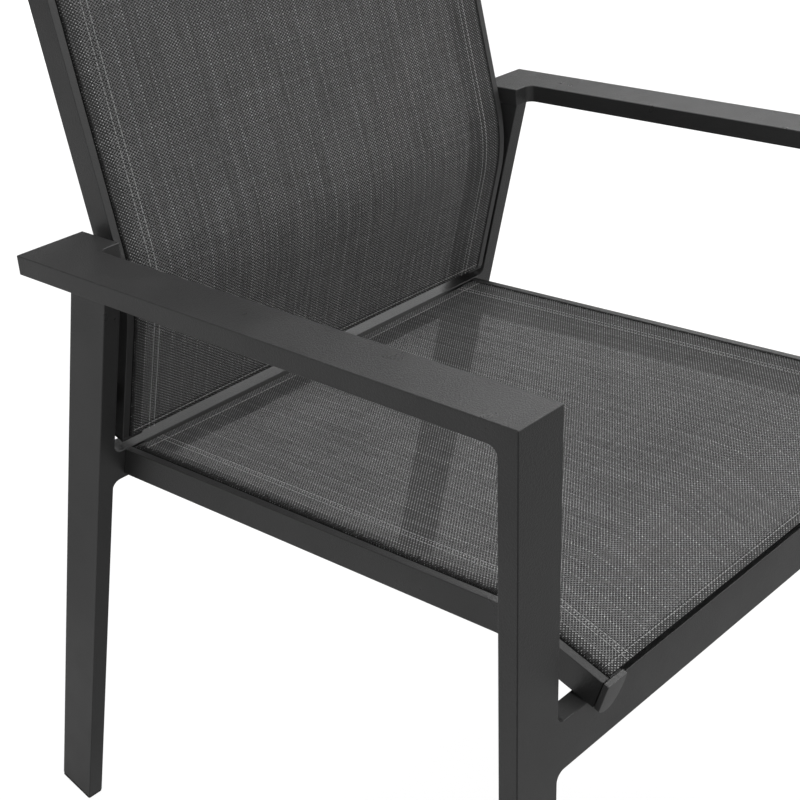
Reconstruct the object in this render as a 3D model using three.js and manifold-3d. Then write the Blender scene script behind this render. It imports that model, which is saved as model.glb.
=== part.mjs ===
// A stacking patio armchair: welded aluminium side frames, two cross rails, and a seat and a back
// that are each one stretched sling held by cords in the grooves of two curved side rails.
//
// Millimetres and degrees, +Z up, front towards -Y. +X is the sitter's left.
// Inboard is the distance from a side frame's outer face towards the middle of the chair.

import * as THREE from 'three';
import { mergeVertices } from 'three/addons/utils/BufferGeometryUtils.js';
import Module from 'manifold-3d';

const wasm = await Module();
wasm.setup();

// Overall sizes
const overallWidth = 570;
const armFrontHeight = 647;
const armRearHeight = 604.5;
const armReach = 459.6;
const backHeight = 900;

// Flat tube of the arms and legs, and the fits between pieces
const barWidth = 40;
const barThickness = 15;
const barWall = 1.8;
const barEdge = 1.2;
const barEdgeSteps = 2;
const fitGap = 0.3;
const cutOverrun = 4;

// Arm: an inner corner at the front, and a wider tab at the rear that sits on the rear leg
const elbowRadius = 11;
const elbowSteps = 6;
const tabWidth = 59.5;
const tabLength = 44;
const tabFillet = 7;
const tabFilletSteps = 6;

// Legs and their caps
const frontLegLean = 2.55;
const rearLegLean = 10.9;
const rearLegInset = 43.6;
const footCapThickness = 3;
const footLand = 5;
const footPlugLength = 12;

// Cross rails, with a concave weld blend at each leg
const frontRailTop = 423.2;
const frontRailHeight = 41;
const rearRailTop = 414;
const rearRailHeight = 30;
const weldRadius = 7;
const weldLand = 0.4;
const weldSteps = 4;

// Section of the sling rails: a flat strip, a keder groove, a lower ledge and a rounded belly
const railWidth = 20;
const railDepth = 30;
const railOuterDepth = 23.7;
const stripWidth = 6.3;
const slotWidth = 2.4;
const ledgeDrop = 1.6;
const pocketRadius = 2.8;
const pocketDepth = 6.6;
const pocketSteps = 6;
const railWall = 1.6;
const bellySteps = 2;
const railBulgeShare = 1.045;
const bellyShares = [[railBulgeShare, 0.3], [1, 0.6], [0.82, 0.9], [0.52, 1], [0.22, 0.93]];

// Seat rails: level run, one bend at the front, and a run that dips over the front rail
const seatRailInset = 69.3;
const seatDip = 14.3;
const seatCrestSetback = 63.7;
const seatOverhang = 10.4;
const seatBendRadius = 100;
const seatBendSteps = 5;

// Back rails: parallel to the rear legs below the lumbar bend, reclined above it
const backRailInset = 64.6;
const backLead = 2;
const backClearance = 13;
const lumbarHeight = 561.6;
const backRecline = 16.3;
const backBendRadius = 135;
const backBendSteps = 6;

// Bar between the tops of the back rails
const topBarHeight = 26;
const topBarThickness = 14;
const topBarSetback = 4;

// End caps of the sling rails
const capThickness = 4;
const capShadowGap = 0.9;
const capPlugLength = 9;
const endCapThickness = 2.6;

// Slings and the keder cords in their side hems
const slingThickness = 1;
const slingDrop = 0.3;
const slingRearGap = 5.5;
const kederRadius = 2.4;
const kederSides = 8;

// Spacers, bolts and threaded inserts between the back rails and the rear legs
const spacerRadius = 7;
const boltRadius = 3;
const boltHeadRadius = 5.2;
const boltHeadHeight = 3.2;
const boltClearance = 0.35;
const boltDepth = 15.5;
const boltTip = 6;
const insertLength = 9;
const lowerBoltRise = 34;
const insertRadius = 4.6;
const insertFlange = 6;
const insertFlangeHeight = 1.2;
const roundSides = 16;

// Materials
const powderCoat = { color: 0x3b3c3d, roughness: 0.55, metalness: 0.35 };
const blackPlastic = { color: 0x1d1e1f, roughness: 0.6, metalness: 0 };
const slingFabric = { color: 0x48494a, roughness: 0.85, metalness: 0 };
const kederCord = { color: 0x26272a, roughness: 0.7, metalness: 0 };
const zincSteel = { color: 0x8d9094, roughness: 0.35, metalness: 0.9 };

// Angles and side-view lines
const radians = THREE.MathUtils.degToRad;
const armSlope = Math.atan2(armFrontHeight - armRearHeight, armReach);
const side = (y, z) => new THREE.Vector2(y, z);
const along = (point, direction, distance) => point.clone().addScaledVector(direction, distance);

// The point where two side-view lines meet, each given by a point and a direction.
function meet(pointA, directionA, pointB, directionB) {
  const between = pointB.clone().sub(pointA);
  const distance = between.cross(directionB) / directionA.cross(directionB);
  return along(pointA, directionA, distance);
}

// Height of the straight line through a point with a given slope, at a place y.
function heightAt(y, point, slope) {
  return point.y + slope * (y - point.x);
}

// Solids: three.js geometry in, three.js geometry out
function toSolid(geometry) {
  const plain = geometry.clone();
  plain.deleteAttribute('normal');
  plain.deleteAttribute('uv');
  const merged = mergeVertices(plain);
  return new wasm.Manifold(new wasm.Mesh({
    numProp: 3,
    vertProperties: merged.attributes.position.array,
    triVerts: new Uint32Array(merged.index.array),
  }));
}

function toGeometry(manifold) {
  const mesh = manifold.getMesh();
  const geometry = new THREE.BufferGeometry();
  geometry.setAttribute('position', new THREE.BufferAttribute(new Float32Array(mesh.vertProperties), 3));
  geometry.setIndex(new THREE.BufferAttribute(new Uint32Array(mesh.triVerts), 1));
  geometry.computeVertexNormals();
  return geometry;
}

function cut(geometry, ...cutters) {
  const cutAway = (solid, cutter) => solid.subtract(toSolid(cutter));
  return toGeometry(cutters.reduce(cutAway, toSolid(geometry)));
}

function join(...geometries) {
  return toGeometry(geometries.map(toSolid).reduce((whole, piece) => whole.add(piece)));
}

// The same piece for the other side of the chair, with its faces still pointing out.
function mirrored(geometry) {
  const copy = geometry.index ? geometry.toNonIndexed() : geometry.clone();
  copy.scale(-1, 1, 1);
  const position = copy.attributes.position;
  const first = new THREE.Vector3();
  const third = new THREE.Vector3();
  for (let corner = 0; corner < position.count; corner += 3) {
    first.fromBufferAttribute(position, corner);
    third.fromBufferAttribute(position, corner + 2);
    position.setXYZ(corner, third.x, third.y, third.z);
    position.setXYZ(corner + 2, first.x, first.y, first.z);
  }
  const closed = mergeVertices(new THREE.BufferGeometry().setAttribute('position', position));
  closed.computeVertexNormals();
  return closed;
}

// A box between two corners.
function box(low, high) {
  const size = high.clone().sub(low);
  const middle = low.clone().add(high).divideScalar(2);
  return new THREE.BoxGeometry(size.x, size.y, size.z).translate(middle.x, middle.y, middle.z);
}

// A block that fills everything beyond a side-view line, used to cut pieces off along it.
function blockBeyond(point, normal, clearance = 0) {
  const span = 2 * (overallWidth + backHeight);
  const middle = along(point, normal, span / 2 - clearance);
  const block = new THREE.BoxGeometry(span, span, span);
  block.rotateX(Math.atan2(-normal.x, normal.y));
  return block.translate(0, middle.x, middle.y);
}

// A round bar along X.
function roundBar(radius, fromX, toX, y, z, sides = roundSides) {
  const bar = new THREE.CylinderGeometry(radius, radius, toX - fromX, sides);
  return bar.rotateZ(Math.PI / 2).translate((fromX + toX) / 2, y, z);
}

// Rounded rectangle with one corner at the origin.
function roundedRectangle(width, height, radius) {
  const shape = new THREE.Shape();
  shape.moveTo(radius, 0);
  shape.absarc(width - radius, radius, radius, -Math.PI / 2, 0);
  shape.absarc(width - radius, height - radius, radius, 0, Math.PI / 2);
  shape.absarc(radius, height - radius, radius, Math.PI / 2, Math.PI);
  shape.absarc(radius, radius, radius, Math.PI, 1.5 * Math.PI);
  return shape;
}

// Rectangle from corner to corner, as a path for holes.
function rectangle(lowX, lowY, highX, highY) {
  const points = [[lowX, lowY], [highX, lowY], [highX, highY], [lowX, highY]];
  return new THREE.Path(points.map(([x, y]) => new THREE.Vector2(x, y)));
}

// Square-ended hollow bar that hangs down from z = 0, its corner on the z axis.
function hangingBar(width, depth, length, hollow) {
  const section = roundedRectangle(width, depth, barEdge);
  if (hollow) section.holes.push(rectangle(barWall, barWall, width - barWall, depth - barWall));
  const bar = new THREE.ExtrudeGeometry(section, {
    depth: length, bevelEnabled: false, curveSegments: barEdgeSteps,
  });
  return bar.translate(0, 0, -length);
}

// Frames of reference. Each holds the pieces that lean alike.
const chair = new THREE.Group();
const armFrame = new THREE.Group();
const frontFrame = new THREE.Group();
const rearFrame = new THREE.Group();
const seatFrame = new THREE.Group();
const backFrame = new THREE.Group();
chair.add(armFrame, frontFrame, rearFrame, seatFrame, backFrame);

const armRearTop = side(0, armRearHeight);
const armFrontTop = side(-armReach, armFrontHeight);
const armRearward = armRearTop.clone().sub(armFrontTop).normalize();
const armDown = side(-Math.sin(armSlope), -Math.cos(armSlope));
armFrame.position.set(0, armRearTop.x, armRearTop.y);
armFrame.rotation.x = -armSlope;

const frontLean = radians(frontLegLean);
const frontDown = side(-Math.sin(frontLean), -Math.cos(frontLean));
const frontRearward = side(Math.cos(frontLean), -Math.sin(frontLean));
frontFrame.position.set(0, armFrontTop.x, armFrontTop.y);
frontFrame.rotation.x = -frontLean;

// The rear leg's front face meets the tab's front edge at the arm's underside.
const rearLean = radians(rearLegLean);
const rearDown = side(Math.sin(rearLean), -Math.cos(rearLean));
const rearRearward = side(Math.cos(rearLean), Math.sin(rearLean));
const tabFront = along(along(armRearTop, armRearward, -tabLength), armDown, barThickness);
rearFrame.position.set(0, tabFront.x, tabFront.y);
rearFrame.rotation.x = rearLean;
chair.updateMatrixWorld(true);

// A geometry given in the chair's own axes, seen from one of the frames.
function seenFrom(frame, geometry) {
  return geometry.clone().applyMatrix4(frame.matrixWorld.clone().invert());
}

function addPiece(parent, name, geometry, finish) {
  const mesh = new THREE.Mesh(geometry, new THREE.MeshStandardMaterial(finish));
  mesh.name = name;
  parent.add(mesh);
  return mesh;
}

// A left and a right piece. The geometry is the right one, measured inboard from its outer face.
function addPair(parent, name, geometry, finish) {
  addPiece(parent, `${name}_right`, geometry, finish).position.x = -overallWidth / 2;
  addPiece(parent, `${name}_left`, mirrored(geometry), finish).position.x = overallWidth / 2;
}

// Mitre between arm and front leg
const armUnderside = along(armRearTop, armDown, barThickness);
const frontLegBack = along(armFrontTop, frontRearward, barThickness);
const elbow = meet(armUnderside, armRearward, frontLegBack, frontDown);
const mitre = elbow.clone().sub(armFrontTop).normalize();
const mitreForward = side(-mitre.y, mitre.x).multiplyScalar(-1);
const mitreRearward = mitreForward.clone().negate();

// Arms: plan outline with the rear tab, hollow from the mitre back to the tab
const armLength = armReach / Math.cos(armSlope);
{
  const plan = new THREE.Shape();
  plan.moveTo(0, 0);
  plan.lineTo(tabWidth, 0);
  plan.lineTo(tabWidth, -tabLength);
  plan.lineTo(barWidth + tabFillet, -tabLength);
  plan.absarc(barWidth + tabFillet, -tabLength - tabFillet, tabFillet, Math.PI / 2, Math.PI, false);
  plan.lineTo(barWidth, -armLength - barThickness);
  plan.lineTo(0, -armLength - barThickness);
  const body = new THREE.ExtrudeGeometry(plan, {
    depth: barThickness - 2 * barEdge,
    bevelThickness: barEdge,
    bevelSize: barEdge,
    bevelOffset: -barEdge,
    bevelSegments: 1,
    curveSegments: tabFilletSteps,
  });
  body.translate(0, 0, barEdge - barThickness);
  const hollow = box(
    new THREE.Vector3(barWall, -armLength - 2 * barThickness, barWall - barThickness),
    new THREE.Vector3(barWidth - barWall, -tabLength, -barWall),
  );
  const beyondMitre = seenFrom(armFrame, blockBeyond(elbow, mitreForward, fitGap / 2));
  addPair(armFrame, 'arm', cut(body, hollow, beyondMitre), powderCoat);
}

// Length of a leg with its cap, so that the cap stands on a level land of footLand
function legReach(topHeight, lean) {
  return (topHeight + footLand * Math.tan(lean)) / Math.cos(lean);
}

// Foot cap: a plug in the leg's end and a flange under it, ground level where it stands
function footCap(frame, lowX, width, depth, reach) {
  const thickness = footCapThickness - fitGap;
  const flange = hangingBar(width, depth, thickness, false).translate(lowX, 0, thickness - reach);
  const inset = barWall + fitGap;
  const plug = box(
    new THREE.Vector3(lowX + inset, inset, -reach + footCapThickness / 2),
    new THREE.Vector3(lowX + width - inset, depth - inset, -reach + footPlugLength),
  );
  return cut(join(flange, plug), seenFrom(frame, blockBeyond(side(0, 0), side(0, -1))));
}

// Front legs: mitred to the arm, with a rounded fillet in the inner corner
const frontLegReach = legReach(armFrontHeight - barThickness * Math.sin(frontLean), frontLean);
{
  const length = frontLegReach - footCapThickness;
  const lengthAbove = barThickness;
  const bar = hangingBar(barWidth, barThickness, length + lengthAbove, true).translate(0, 0, lengthAbove);
  const corner = along(elbow, armDown, fitGap);
  const cornerAngle = Math.acos(armRearward.dot(frontDown));
  const reach = elbowRadius / Math.tan(cornerAngle / 2);
  const bisector = armRearward.clone().add(frontDown).normalize();
  const centre = along(corner, bisector, elbowRadius / Math.sin(cornerAngle / 2));
  const onArm = along(corner, armRearward, reach);
  const onLeg = along(corner, frontDown, reach);
  const startAngle = Math.atan2(onArm.y - centre.y, onArm.x - centre.x);
  const endAngle = Math.atan2(onLeg.y - centre.y, onLeg.x - centre.x);
  const wedge = new THREE.Shape();
  const insideLeg = along(corner, frontRearward, -barWall / 2);
  const insideLow = along(onLeg, frontRearward, -barWall / 2);
  wedge.moveTo(insideLeg.x, insideLeg.y);
  wedge.lineTo(onArm.x, onArm.y);
  wedge.absarc(centre.x, centre.y, elbowRadius, startAngle, endAngle, false);
  wedge.lineTo(insideLow.x, insideLow.y);
  const fillet = new THREE.ExtrudeGeometry(wedge, {
    depth: barWidth - 2 * barEdge, bevelEnabled: false, curveSegments: elbowSteps,
  });
  const turned = new THREE.Matrix4().makeBasis(
    new THREE.Vector3(0, 1, 0), new THREE.Vector3(0, 0, 1), new THREE.Vector3(1, 0, 0),
  );
  fillet.applyMatrix4(turned).translate(barEdge, 0, 0);
  const beyondMitre = seenFrom(frontFrame, blockBeyond(elbow, mitreRearward, fitGap / 2));
  const trimmed = cut(bar, beyondMitre);
  addPair(frontFrame, 'front_leg', join(trimmed, seenFrom(frontFrame, fillet)), powderCoat);
  const cap = footCap(frontFrame, 0, barWidth, barThickness, frontLegReach);
  addPair(frontFrame, 'front_foot_cap', cap, blackPlastic);
}

// Rear legs, drilled later for the inserts that hold the back rails
const rearLegReach = legReach(tabFront.y, rearLean);
const rearLegInner = rearLegInset + barThickness;

// Cross rail outline seen from the front, flared by a weld blend at each of its four corners
function crossRail(fromInboard, height, thickness) {
  const length = overallWidth - 2 * (fromInboard + fitGap);
  const blend = weldRadius - weldLand;
  const outer = Math.sqrt(weldRadius ** 2 - blend ** 2);
  const tilt = Math.asin(outer / weldRadius);
  const outline = new THREE.Shape();
  outline.moveTo(0, -height - weldRadius + outer);
  outline.absarc(blend, -height - weldRadius, weldRadius, Math.PI - tilt, Math.PI / 2, true);
  outline.absarc(length - blend, -height - weldRadius, weldRadius, Math.PI / 2, tilt, true);
  outline.lineTo(length, weldRadius - outer);
  outline.absarc(length - blend, weldRadius, weldRadius, -tilt, -Math.PI / 2, true);
  outline.absarc(blend, weldRadius, weldRadius, -Math.PI / 2, tilt - Math.PI, true);
  const rail = new THREE.ExtrudeGeometry(outline, {
    depth: thickness, bevelEnabled: false, curveSegments: weldSteps,
  });
  rail.rotateX(Math.PI / 2).translate(-length / 2, thickness, 0);
  const bore = box(
    new THREE.Vector3(-length, barWall, barWall - height),
    new THREE.Vector3(length, thickness - barWall, -barWall),
  );
  return cut(rail, bore);
}

// Place on a leaning frame's own z axis of a height above the floor, on the front face
const frontRailPlace = (frontRailTop - armFrontTop.y) / Math.cos(frontLean);
const rearRailPlace = (rearRailTop - tabFront.y) / Math.cos(rearLean);
const frontRail = crossRail(barWidth, frontRailHeight, barThickness);
addPiece(frontFrame, 'front_cross_rail', frontRail, powderCoat).position.z = frontRailPlace;
const rearRail = crossRail(rearLegInner, rearRailHeight, barThickness);
addPiece(rearFrame, 'rear_cross_rail', rearRail, powderCoat).position.z = rearRailPlace;

// Side-view path of a sling rail: two straight runs joined by one bend
function bentPath(start, corner, end, radius, steps) {
  const into = corner.clone().sub(start).normalize();
  const out = end.clone().sub(corner).normalize();
  const turn = Math.atan2(into.cross(out), into.dot(out));
  const reach = radius * Math.tan(Math.abs(turn) / 2);
  const bendStart = along(corner, into, -reach);
  const towards = side(-into.y, into.x).multiplyScalar(Math.sign(turn));
  const centre = along(bendStart, towards, radius);
  const points = [start];
  for (let step = 0; step <= steps; step += 1) {
    points.push(bendStart.clone().rotateAround(centre, (turn * step) / steps));
  }
  points.push(end);
  return points;
}

// The stretch of a path between two distances from its start.
function stretch(points, from, to) {
  const lengths = [0];
  for (let i = 1; i < points.length; i += 1) {
    lengths.push(lengths[i - 1] + points[i].distanceTo(points[i - 1]));
  }
  const last = points.length - 1;
  const place = (distance) => {
    let i = 1;
    while (i < last && lengths[i] < distance) i += 1;
    const share = (distance - lengths[i - 1]) / (lengths[i] - lengths[i - 1]);
    return points[i - 1].clone().lerp(points[i], share);
  };
  const between = points.filter((point, i) => lengths[i] > from + fitGap && lengths[i] < to - fitGap);
  return [place(from), ...between, place(to)];
}

function pathLength(points) {
  return points.slice(1).reduce((sum, point, i) => sum + point.distanceTo(points[i]), 0);
}

// A curve in the side view whose frames keep the section's first axis along -X,
// and its second axis to the left of the way along the path as seen from +X.
class SidePath extends THREE.Curve {
  constructor(points) {
    super();
    this.points = points;
  }

  getSpacedPoints() {
    return this.points.map((point) => new THREE.Vector3(0, point.x, point.y));
  }

  computeFrenetFrames() {
    const last = this.points.length - 1;
    const tangents = this.points.map((point, i) => {
      const before = this.points[Math.max(i - 1, 0)];
      const after = this.points[Math.min(i + 1, last)];
      const into = point.clone().sub(before).normalize();
      const out = after.clone().sub(point).normalize();
      const mean = into.add(out).normalize();
      return new THREE.Vector3(0, mean.x, mean.y);
    });
    const across = new THREE.Vector3(1, 0, 0);
    return {
      tangents,
      normals: tangents.map(() => across.clone().negate()),
      binormals: tangents.map((tangent) => across.clone().cross(tangent)),
    };
  }
}

// Sweep a section, given as [inboard, depth] points, along a side-view path.
function sweep(section, points, holes = []) {
  const flipped = (list) => list.map(([inboard, depth]) => new THREE.Vector2(-inboard, depth));
  const shape = new THREE.Shape(flipped(section));
  holes.forEach((hole) => shape.holes.push(new THREE.Path(flipped(hole).reverse())));
  return new THREE.ExtrudeGeometry(shape, {
    steps: points.length - 1, extrudePath: new SidePath(points), bevelEnabled: false,
  });
}

// Rail section: [inboard, depth] points, with the groove for the keder or without it for caps
const slotCentre = stripWidth + slotWidth / 2;
function railOutline(grooved) {
  const outline = new THREE.Path();
  outline.moveTo(0, 0);
  if (grooved) {
    const neckAngle = Math.asin(slotWidth / 2 / pocketRadius);
    const neck = pocketDepth - pocketRadius * Math.cos(neckAngle);
    outline.lineTo(stripWidth, 0);
    outline.lineTo(stripWidth, neck);
    for (let step = 1; step < pocketSteps; step += 1) {
      const angle = neckAngle + (2 * (Math.PI - neckAngle) * step) / pocketSteps;
      const inboard = slotCentre - pocketRadius * Math.sin(angle);
      outline.lineTo(inboard, pocketDepth - pocketRadius * Math.cos(angle));
    }
    outline.lineTo(stripWidth + slotWidth, neck);
    outline.lineTo(stripWidth + slotWidth, ledgeDrop);
    outline.lineTo(railWidth, ledgeDrop);
  } else {
    outline.lineTo(railWidth, 0);
  }
  const belly = bellyShares.map(([acrossShare, downShare]) => (
    new THREE.Vector2(acrossShare * railWidth, downShare * railDepth)
  ));
  outline.splineThru([...belly, new THREE.Vector2(0, railOuterDepth)]);
  return outline.getPoints(bellySteps).map((point) => [point.x, point.y]);
}

// Chamber of the rail under the groove: the belly's outline moved in by the wall and cut off level
const railRibDepth = pocketDepth + pocketRadius + railWall;
function chamberOutline(wall) {
  const roof = railRibDepth + wall - railWall;
  const outline = railOutline(false);
  const middle = new THREE.Vector2(railWidth / 2, railDepth / 2);
  const moved = outline.map(([inboard, depth]) => {
    const from = new THREE.Vector2(inboard, depth).sub(middle);
    const kept = (half) => (half - wall) / half;
    return [middle.x + from.x * kept(railWidth / 2), middle.y + from.y * kept(railDepth / 2)];
  });
  return moved.map(([inboard, depth]) => [inboard, Math.max(depth, roof)])
    .filter(([inboard, depth], i, list) => {
      const next = list[(i + 1) % list.length];
      return Math.hypot(next[0] - inboard, next[1] - depth) > fitGap / 2;
    });
}

const shifted = (section, inset) => section.map(([inboard, depth]) => [inboard + inset, depth]);
const railSection = (inset) => shifted(railOutline(true), inset);
const chamberSection = (inset) => shifted(chamberOutline(railWall), inset);

// Cap on the end of a sling rail: a flange of the rail's outline and a plug in its chamber
function railCap(inset, end, outward, thickness, standOff, atStart = false) {
  const sweepOutward = (section, from, to) => {
    const run = [along(end, outward, from), along(end, outward, to)];
    return sweep(shifted(section, inset), atStart ? run.reverse() : run);
  };
  const flange = sweepOutward(railOutline(false), standOff, standOff + thickness);
  const plug = sweepOutward(chamberOutline(railWall + fitGap), -capPlugLength, standOff + thickness / 2);
  return join(flange, plug);
}

// Sling: a sheet over the ledges of both rails, with a tail down each groove to the keder
function sling(inset, points) {
  const outer = overallWidth / 2 - inset - slotCentre + slingThickness / 2;
  const inner = outer - slingThickness;
  const top = slingDrop;
  const under = slingDrop + slingThickness;
  const tail = pocketDepth - kederRadius - fitGap;
  return sweep([
    [-outer, top], [outer, top], [outer, tail], [inner, tail],
    [inner, under], [-inner, under], [-inner, tail], [-outer, tail],
  ], points);
}

function kederSection(inset) {
  return Array.from({ length: kederSides }, (unused, i) => {
    const angle = (2 * Math.PI * (i + 1 / 2)) / kederSides;
    return [inset + slotCentre + kederRadius * Math.cos(angle), pocketDepth + kederRadius * Math.sin(angle)];
  });
}

// Seat rails: level with the rear rail's top at the rear, resting on the front rail at the front
const rearRailEdge = along(tabFront, rearDown, -rearRailPlace);
const frontRailEdge = along(armFrontTop, frontDown, -frontRailPlace);
const dip = radians(seatDip);
const railSeat = along(frontRailEdge, frontRearward, barThickness / 2);
const seatAboveRail = side(railSeat.x, railSeat.y + (railOuterDepth + fitGap) / Math.cos(dip));
const onDip = (y) => side(y, heightAt(y, seatAboveRail, Math.tan(dip)));
const seatCrest = onDip(frontRailEdge.x + seatCrestSetback);
const seatFront = onDip(frontRailEdge.x - seatOverhang);
const seatPath = bentPath(rearRailEdge, seatCrest, seatFront, seatBendRadius, seatBendSteps);
const seatForward = seatFront.clone().sub(seatCrest).normalize();
const seatRun = seatCrest.clone().sub(rearRailEdge).normalize();
{
  const overlong = [along(rearRailEdge, seatRun, -railDepth), ...seatPath.slice(1)];
  const rail = sweep(railSection(seatRailInset), overlong, [chamberSection(seatRailInset)]);
  const frontRailRoom = box(
    new THREE.Vector3(0, -fitGap, frontRailPlace - frontRailHeight),
    new THREE.Vector3(overallWidth, barThickness + fitGap, frontRailPlace + fitGap),
  ).applyMatrix4(frontFrame.matrixWorld);
  const rearFace = blockBeyond(rearRailEdge, rearRearward, fitGap);
  addPair(seatFrame, 'seat_rail', cut(rail, rearFace, frontRailRoom), powderCoat);
  const cap = railCap(seatRailInset, seatFront, seatForward, capThickness, capShadowGap);
  addPair(seatFrame, 'seat_rail_cap', cut(cap, frontRailRoom), powderCoat);
}

// Back rails: a little ahead of the rear legs' front faces, then reclined above the lumbar bend
const recline = radians(backRecline);
const rearFaceAt = (z) => tabFront.x + (tabFront.y - z) * Math.tan(rearLean);
const lumbar = side(rearFaceAt(lumbarHeight) - backLead, lumbarHeight);
const backFootHeight = rearRailTop + backClearance;
const backFoot = side(rearFaceAt(backFootHeight) - backLead, backFootHeight);
const backTopHeight = backHeight - endCapThickness - fitGap;
const backTop = side(lumbar.x + (backTopHeight - lumbar.y) * Math.tan(recline), backTopHeight);
const backPath = bentPath(backTop, lumbar, backFoot, backBendRadius, backBendSteps);
const backLength = pathLength(backPath);
const upward = backTop.clone().sub(lumbar).normalize();
const downward = backFoot.clone().sub(lumbar).normalize();
const rearwardOf = (direction) => side(-direction.y, direction.x);

// Bolts: one at the middle of the lumbar bend and one near the rail's foot
const bendMiddle = 1 + backBendSteps / 2;
const acrossBend = backPath[bendMiddle + 1].clone().sub(backPath[bendMiddle - 1]).normalize();
const boltPlaces = {
  upper: along(backPath[bendMiddle], rearwardOf(acrossBend), boltDepth),
  lower: along(along(backFoot, downward, -lowerBoltRise), rearwardOf(downward), boltDepth),
};
const places = Object.values(boltPlaces);
const railReach = backRailInset + railWidth * railBulgeShare;
{
  const rail = sweep(railSection(backRailInset), backPath, [chamberSection(backRailInset)]);
  const holes = places.map((place) => roundBar(
    boltRadius + boltClearance, backRailInset - cutOverrun, railReach + cutOverrun, place.x, place.y,
  ));
  addPair(backFrame, 'back_rail', cut(rail, ...holes), powderCoat);
  const topCap = railCap(backRailInset, backTop, upward, endCapThickness, fitGap, true);
  const footEnd = railCap(backRailInset, backFoot, downward, endCapThickness, fitGap);
  addPair(backFrame, 'back_rail_top_cap', topCap, blackPlastic);
  addPair(backFrame, 'back_rail_foot_cap', footEnd, blackPlastic);
}

// Rear legs, with holes for the threaded inserts
{
  const above = barWidth;
  const length = rearLegReach - footCapThickness;
  const bar = hangingBar(barThickness, barWidth, length + above, true).translate(rearLegInset, 0, above);
  const armFace = seenFrom(rearFrame, blockBeyond(armUnderside, armDown.clone().negate(), fitGap));
  const holes = places.map((place) => seenFrom(rearFrame, roundBar(
    insertRadius + fitGap, rearLegInner - barWall - cutOverrun, rearLegInner + cutOverrun, place.x, place.y,
  )));
  addPair(rearFrame, 'rear_leg', cut(bar, armFace, ...holes), powderCoat);
  const cap = footCap(rearFrame, rearLegInset, barThickness, barWidth, rearLegReach);
  addPair(rearFrame, 'rear_foot_cap', cap, blackPlastic);
}

// Inserts, spacers and bolts
for (const [name, place] of Object.entries(boltPlaces)) {
  const rod = (radius, fromX, toX) => roundBar(radius, fromX, toX, place.x, place.y);
  const flangeFace = rearLegInner + fitGap + insertFlangeHeight;
  const bore = rod(boltRadius + boltClearance, rearLegInner - insertLength - cutOverrun, backRailInset);
  const sleeve = rod(insertRadius, rearLegInner - insertLength, flangeFace);
  const flange = rod(insertFlange, rearLegInner + fitGap, flangeFace);
  addPair(backFrame, `${name}_insert`, cut(join(sleeve, flange), bore), zincSteel);
  const spacer = rod(spacerRadius, flangeFace + fitGap, backRailInset - fitGap);
  addPair(backFrame, `${name}_spacer`, cut(spacer, bore), blackPlastic);
  const shank = rod(boltRadius, rearLegInner - boltTip, railReach + boltHeadHeight);
  const head = rod(boltHeadRadius, railReach + fitGap, railReach + fitGap + boltHeadHeight);
  addPair(backFrame, `${name}_bolt`, join(shank, head), zincSteel);
}

// Bar between the tops of the back rails, behind the sling
{
  const half = overallWidth / 2 - railReach - fitGap;
  const depths = [topBarSetback, topBarSetback + topBarThickness];
  const section = [[-half, depths[0]], [half, depths[0]], [half, depths[1]], [-half, depths[1]]];
  const bar = sweep(section, stretch(backPath, 0, topBarHeight));
  const boreDepths = [depths[0] + barWall, depths[1] - barWall];
  const bore = sweep(
    [[-overallWidth, boreDepths[0]], [overallWidth, boreDepths[0]],
      [overallWidth, boreDepths[1]], [-overallWidth, boreDepths[1]]],
    stretch(backPath, barWall, topBarHeight - barWall),
  );
  addPiece(backFrame, 'back_top_bar', cut(bar, bore), powderCoat);
}

// Slings and keder cords
const seatSlingPath = stretch(seatPath, slingRearGap, pathLength(seatPath));
addPiece(seatFrame, 'seat_sling', sling(seatRailInset, seatSlingPath), slingFabric);
addPair(seatFrame, 'seat_keder', sweep(kederSection(seatRailInset), seatSlingPath), kederCord);
const backSlingPath = stretch(backPath, 0, backLength);
addPiece(backFrame, 'back_sling', sling(backRailInset, backSlingPath), slingFabric);
addPair(backFrame, 'back_keder', sweep(kederSection(backRailInset), backSlingPath), kederCord);

// The chair's origin is on the floor under the middle of its box.
chair.updateMatrixWorld(true);
const bounds = new THREE.Box3().setFromObject(chair, true);
chair.position.set(0, -(bounds.min.y + bounds.max.y) / 2, -bounds.min.z);

export default chair;
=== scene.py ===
"""Sling patio chair: powder-coated flat-tube frames, grooved side rails, and two stretched mesh slings.

Lengths are in metres, +Z up, front towards -Y. "Inboard" is the distance from a side frame's outer
face towards the middle of the chair. Side-view points are (Y, Z) pairs.
"""

import logging
import math
from collections.abc import Callable, Iterable, Sequence
from dataclasses import dataclass, field
from enum import Enum
from functools import partial

import bmesh
import bpy
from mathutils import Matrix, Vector


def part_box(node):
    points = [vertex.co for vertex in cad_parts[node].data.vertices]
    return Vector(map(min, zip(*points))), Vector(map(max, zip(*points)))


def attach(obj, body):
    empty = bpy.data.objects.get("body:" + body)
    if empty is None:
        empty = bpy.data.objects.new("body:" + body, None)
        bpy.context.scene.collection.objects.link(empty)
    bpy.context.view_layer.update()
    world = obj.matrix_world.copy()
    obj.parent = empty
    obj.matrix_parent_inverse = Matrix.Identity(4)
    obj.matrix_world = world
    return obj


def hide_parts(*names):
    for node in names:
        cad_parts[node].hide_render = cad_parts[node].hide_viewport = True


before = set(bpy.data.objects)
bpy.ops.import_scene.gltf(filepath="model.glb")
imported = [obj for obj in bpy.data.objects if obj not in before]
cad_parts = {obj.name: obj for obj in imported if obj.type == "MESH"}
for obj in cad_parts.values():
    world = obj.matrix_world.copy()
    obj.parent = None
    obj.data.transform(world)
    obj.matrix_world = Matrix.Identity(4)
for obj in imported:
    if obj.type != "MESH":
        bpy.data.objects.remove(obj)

LOG = logging.getLogger("sling_chair")
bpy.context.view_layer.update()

Pair = tuple[float, float]
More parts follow.
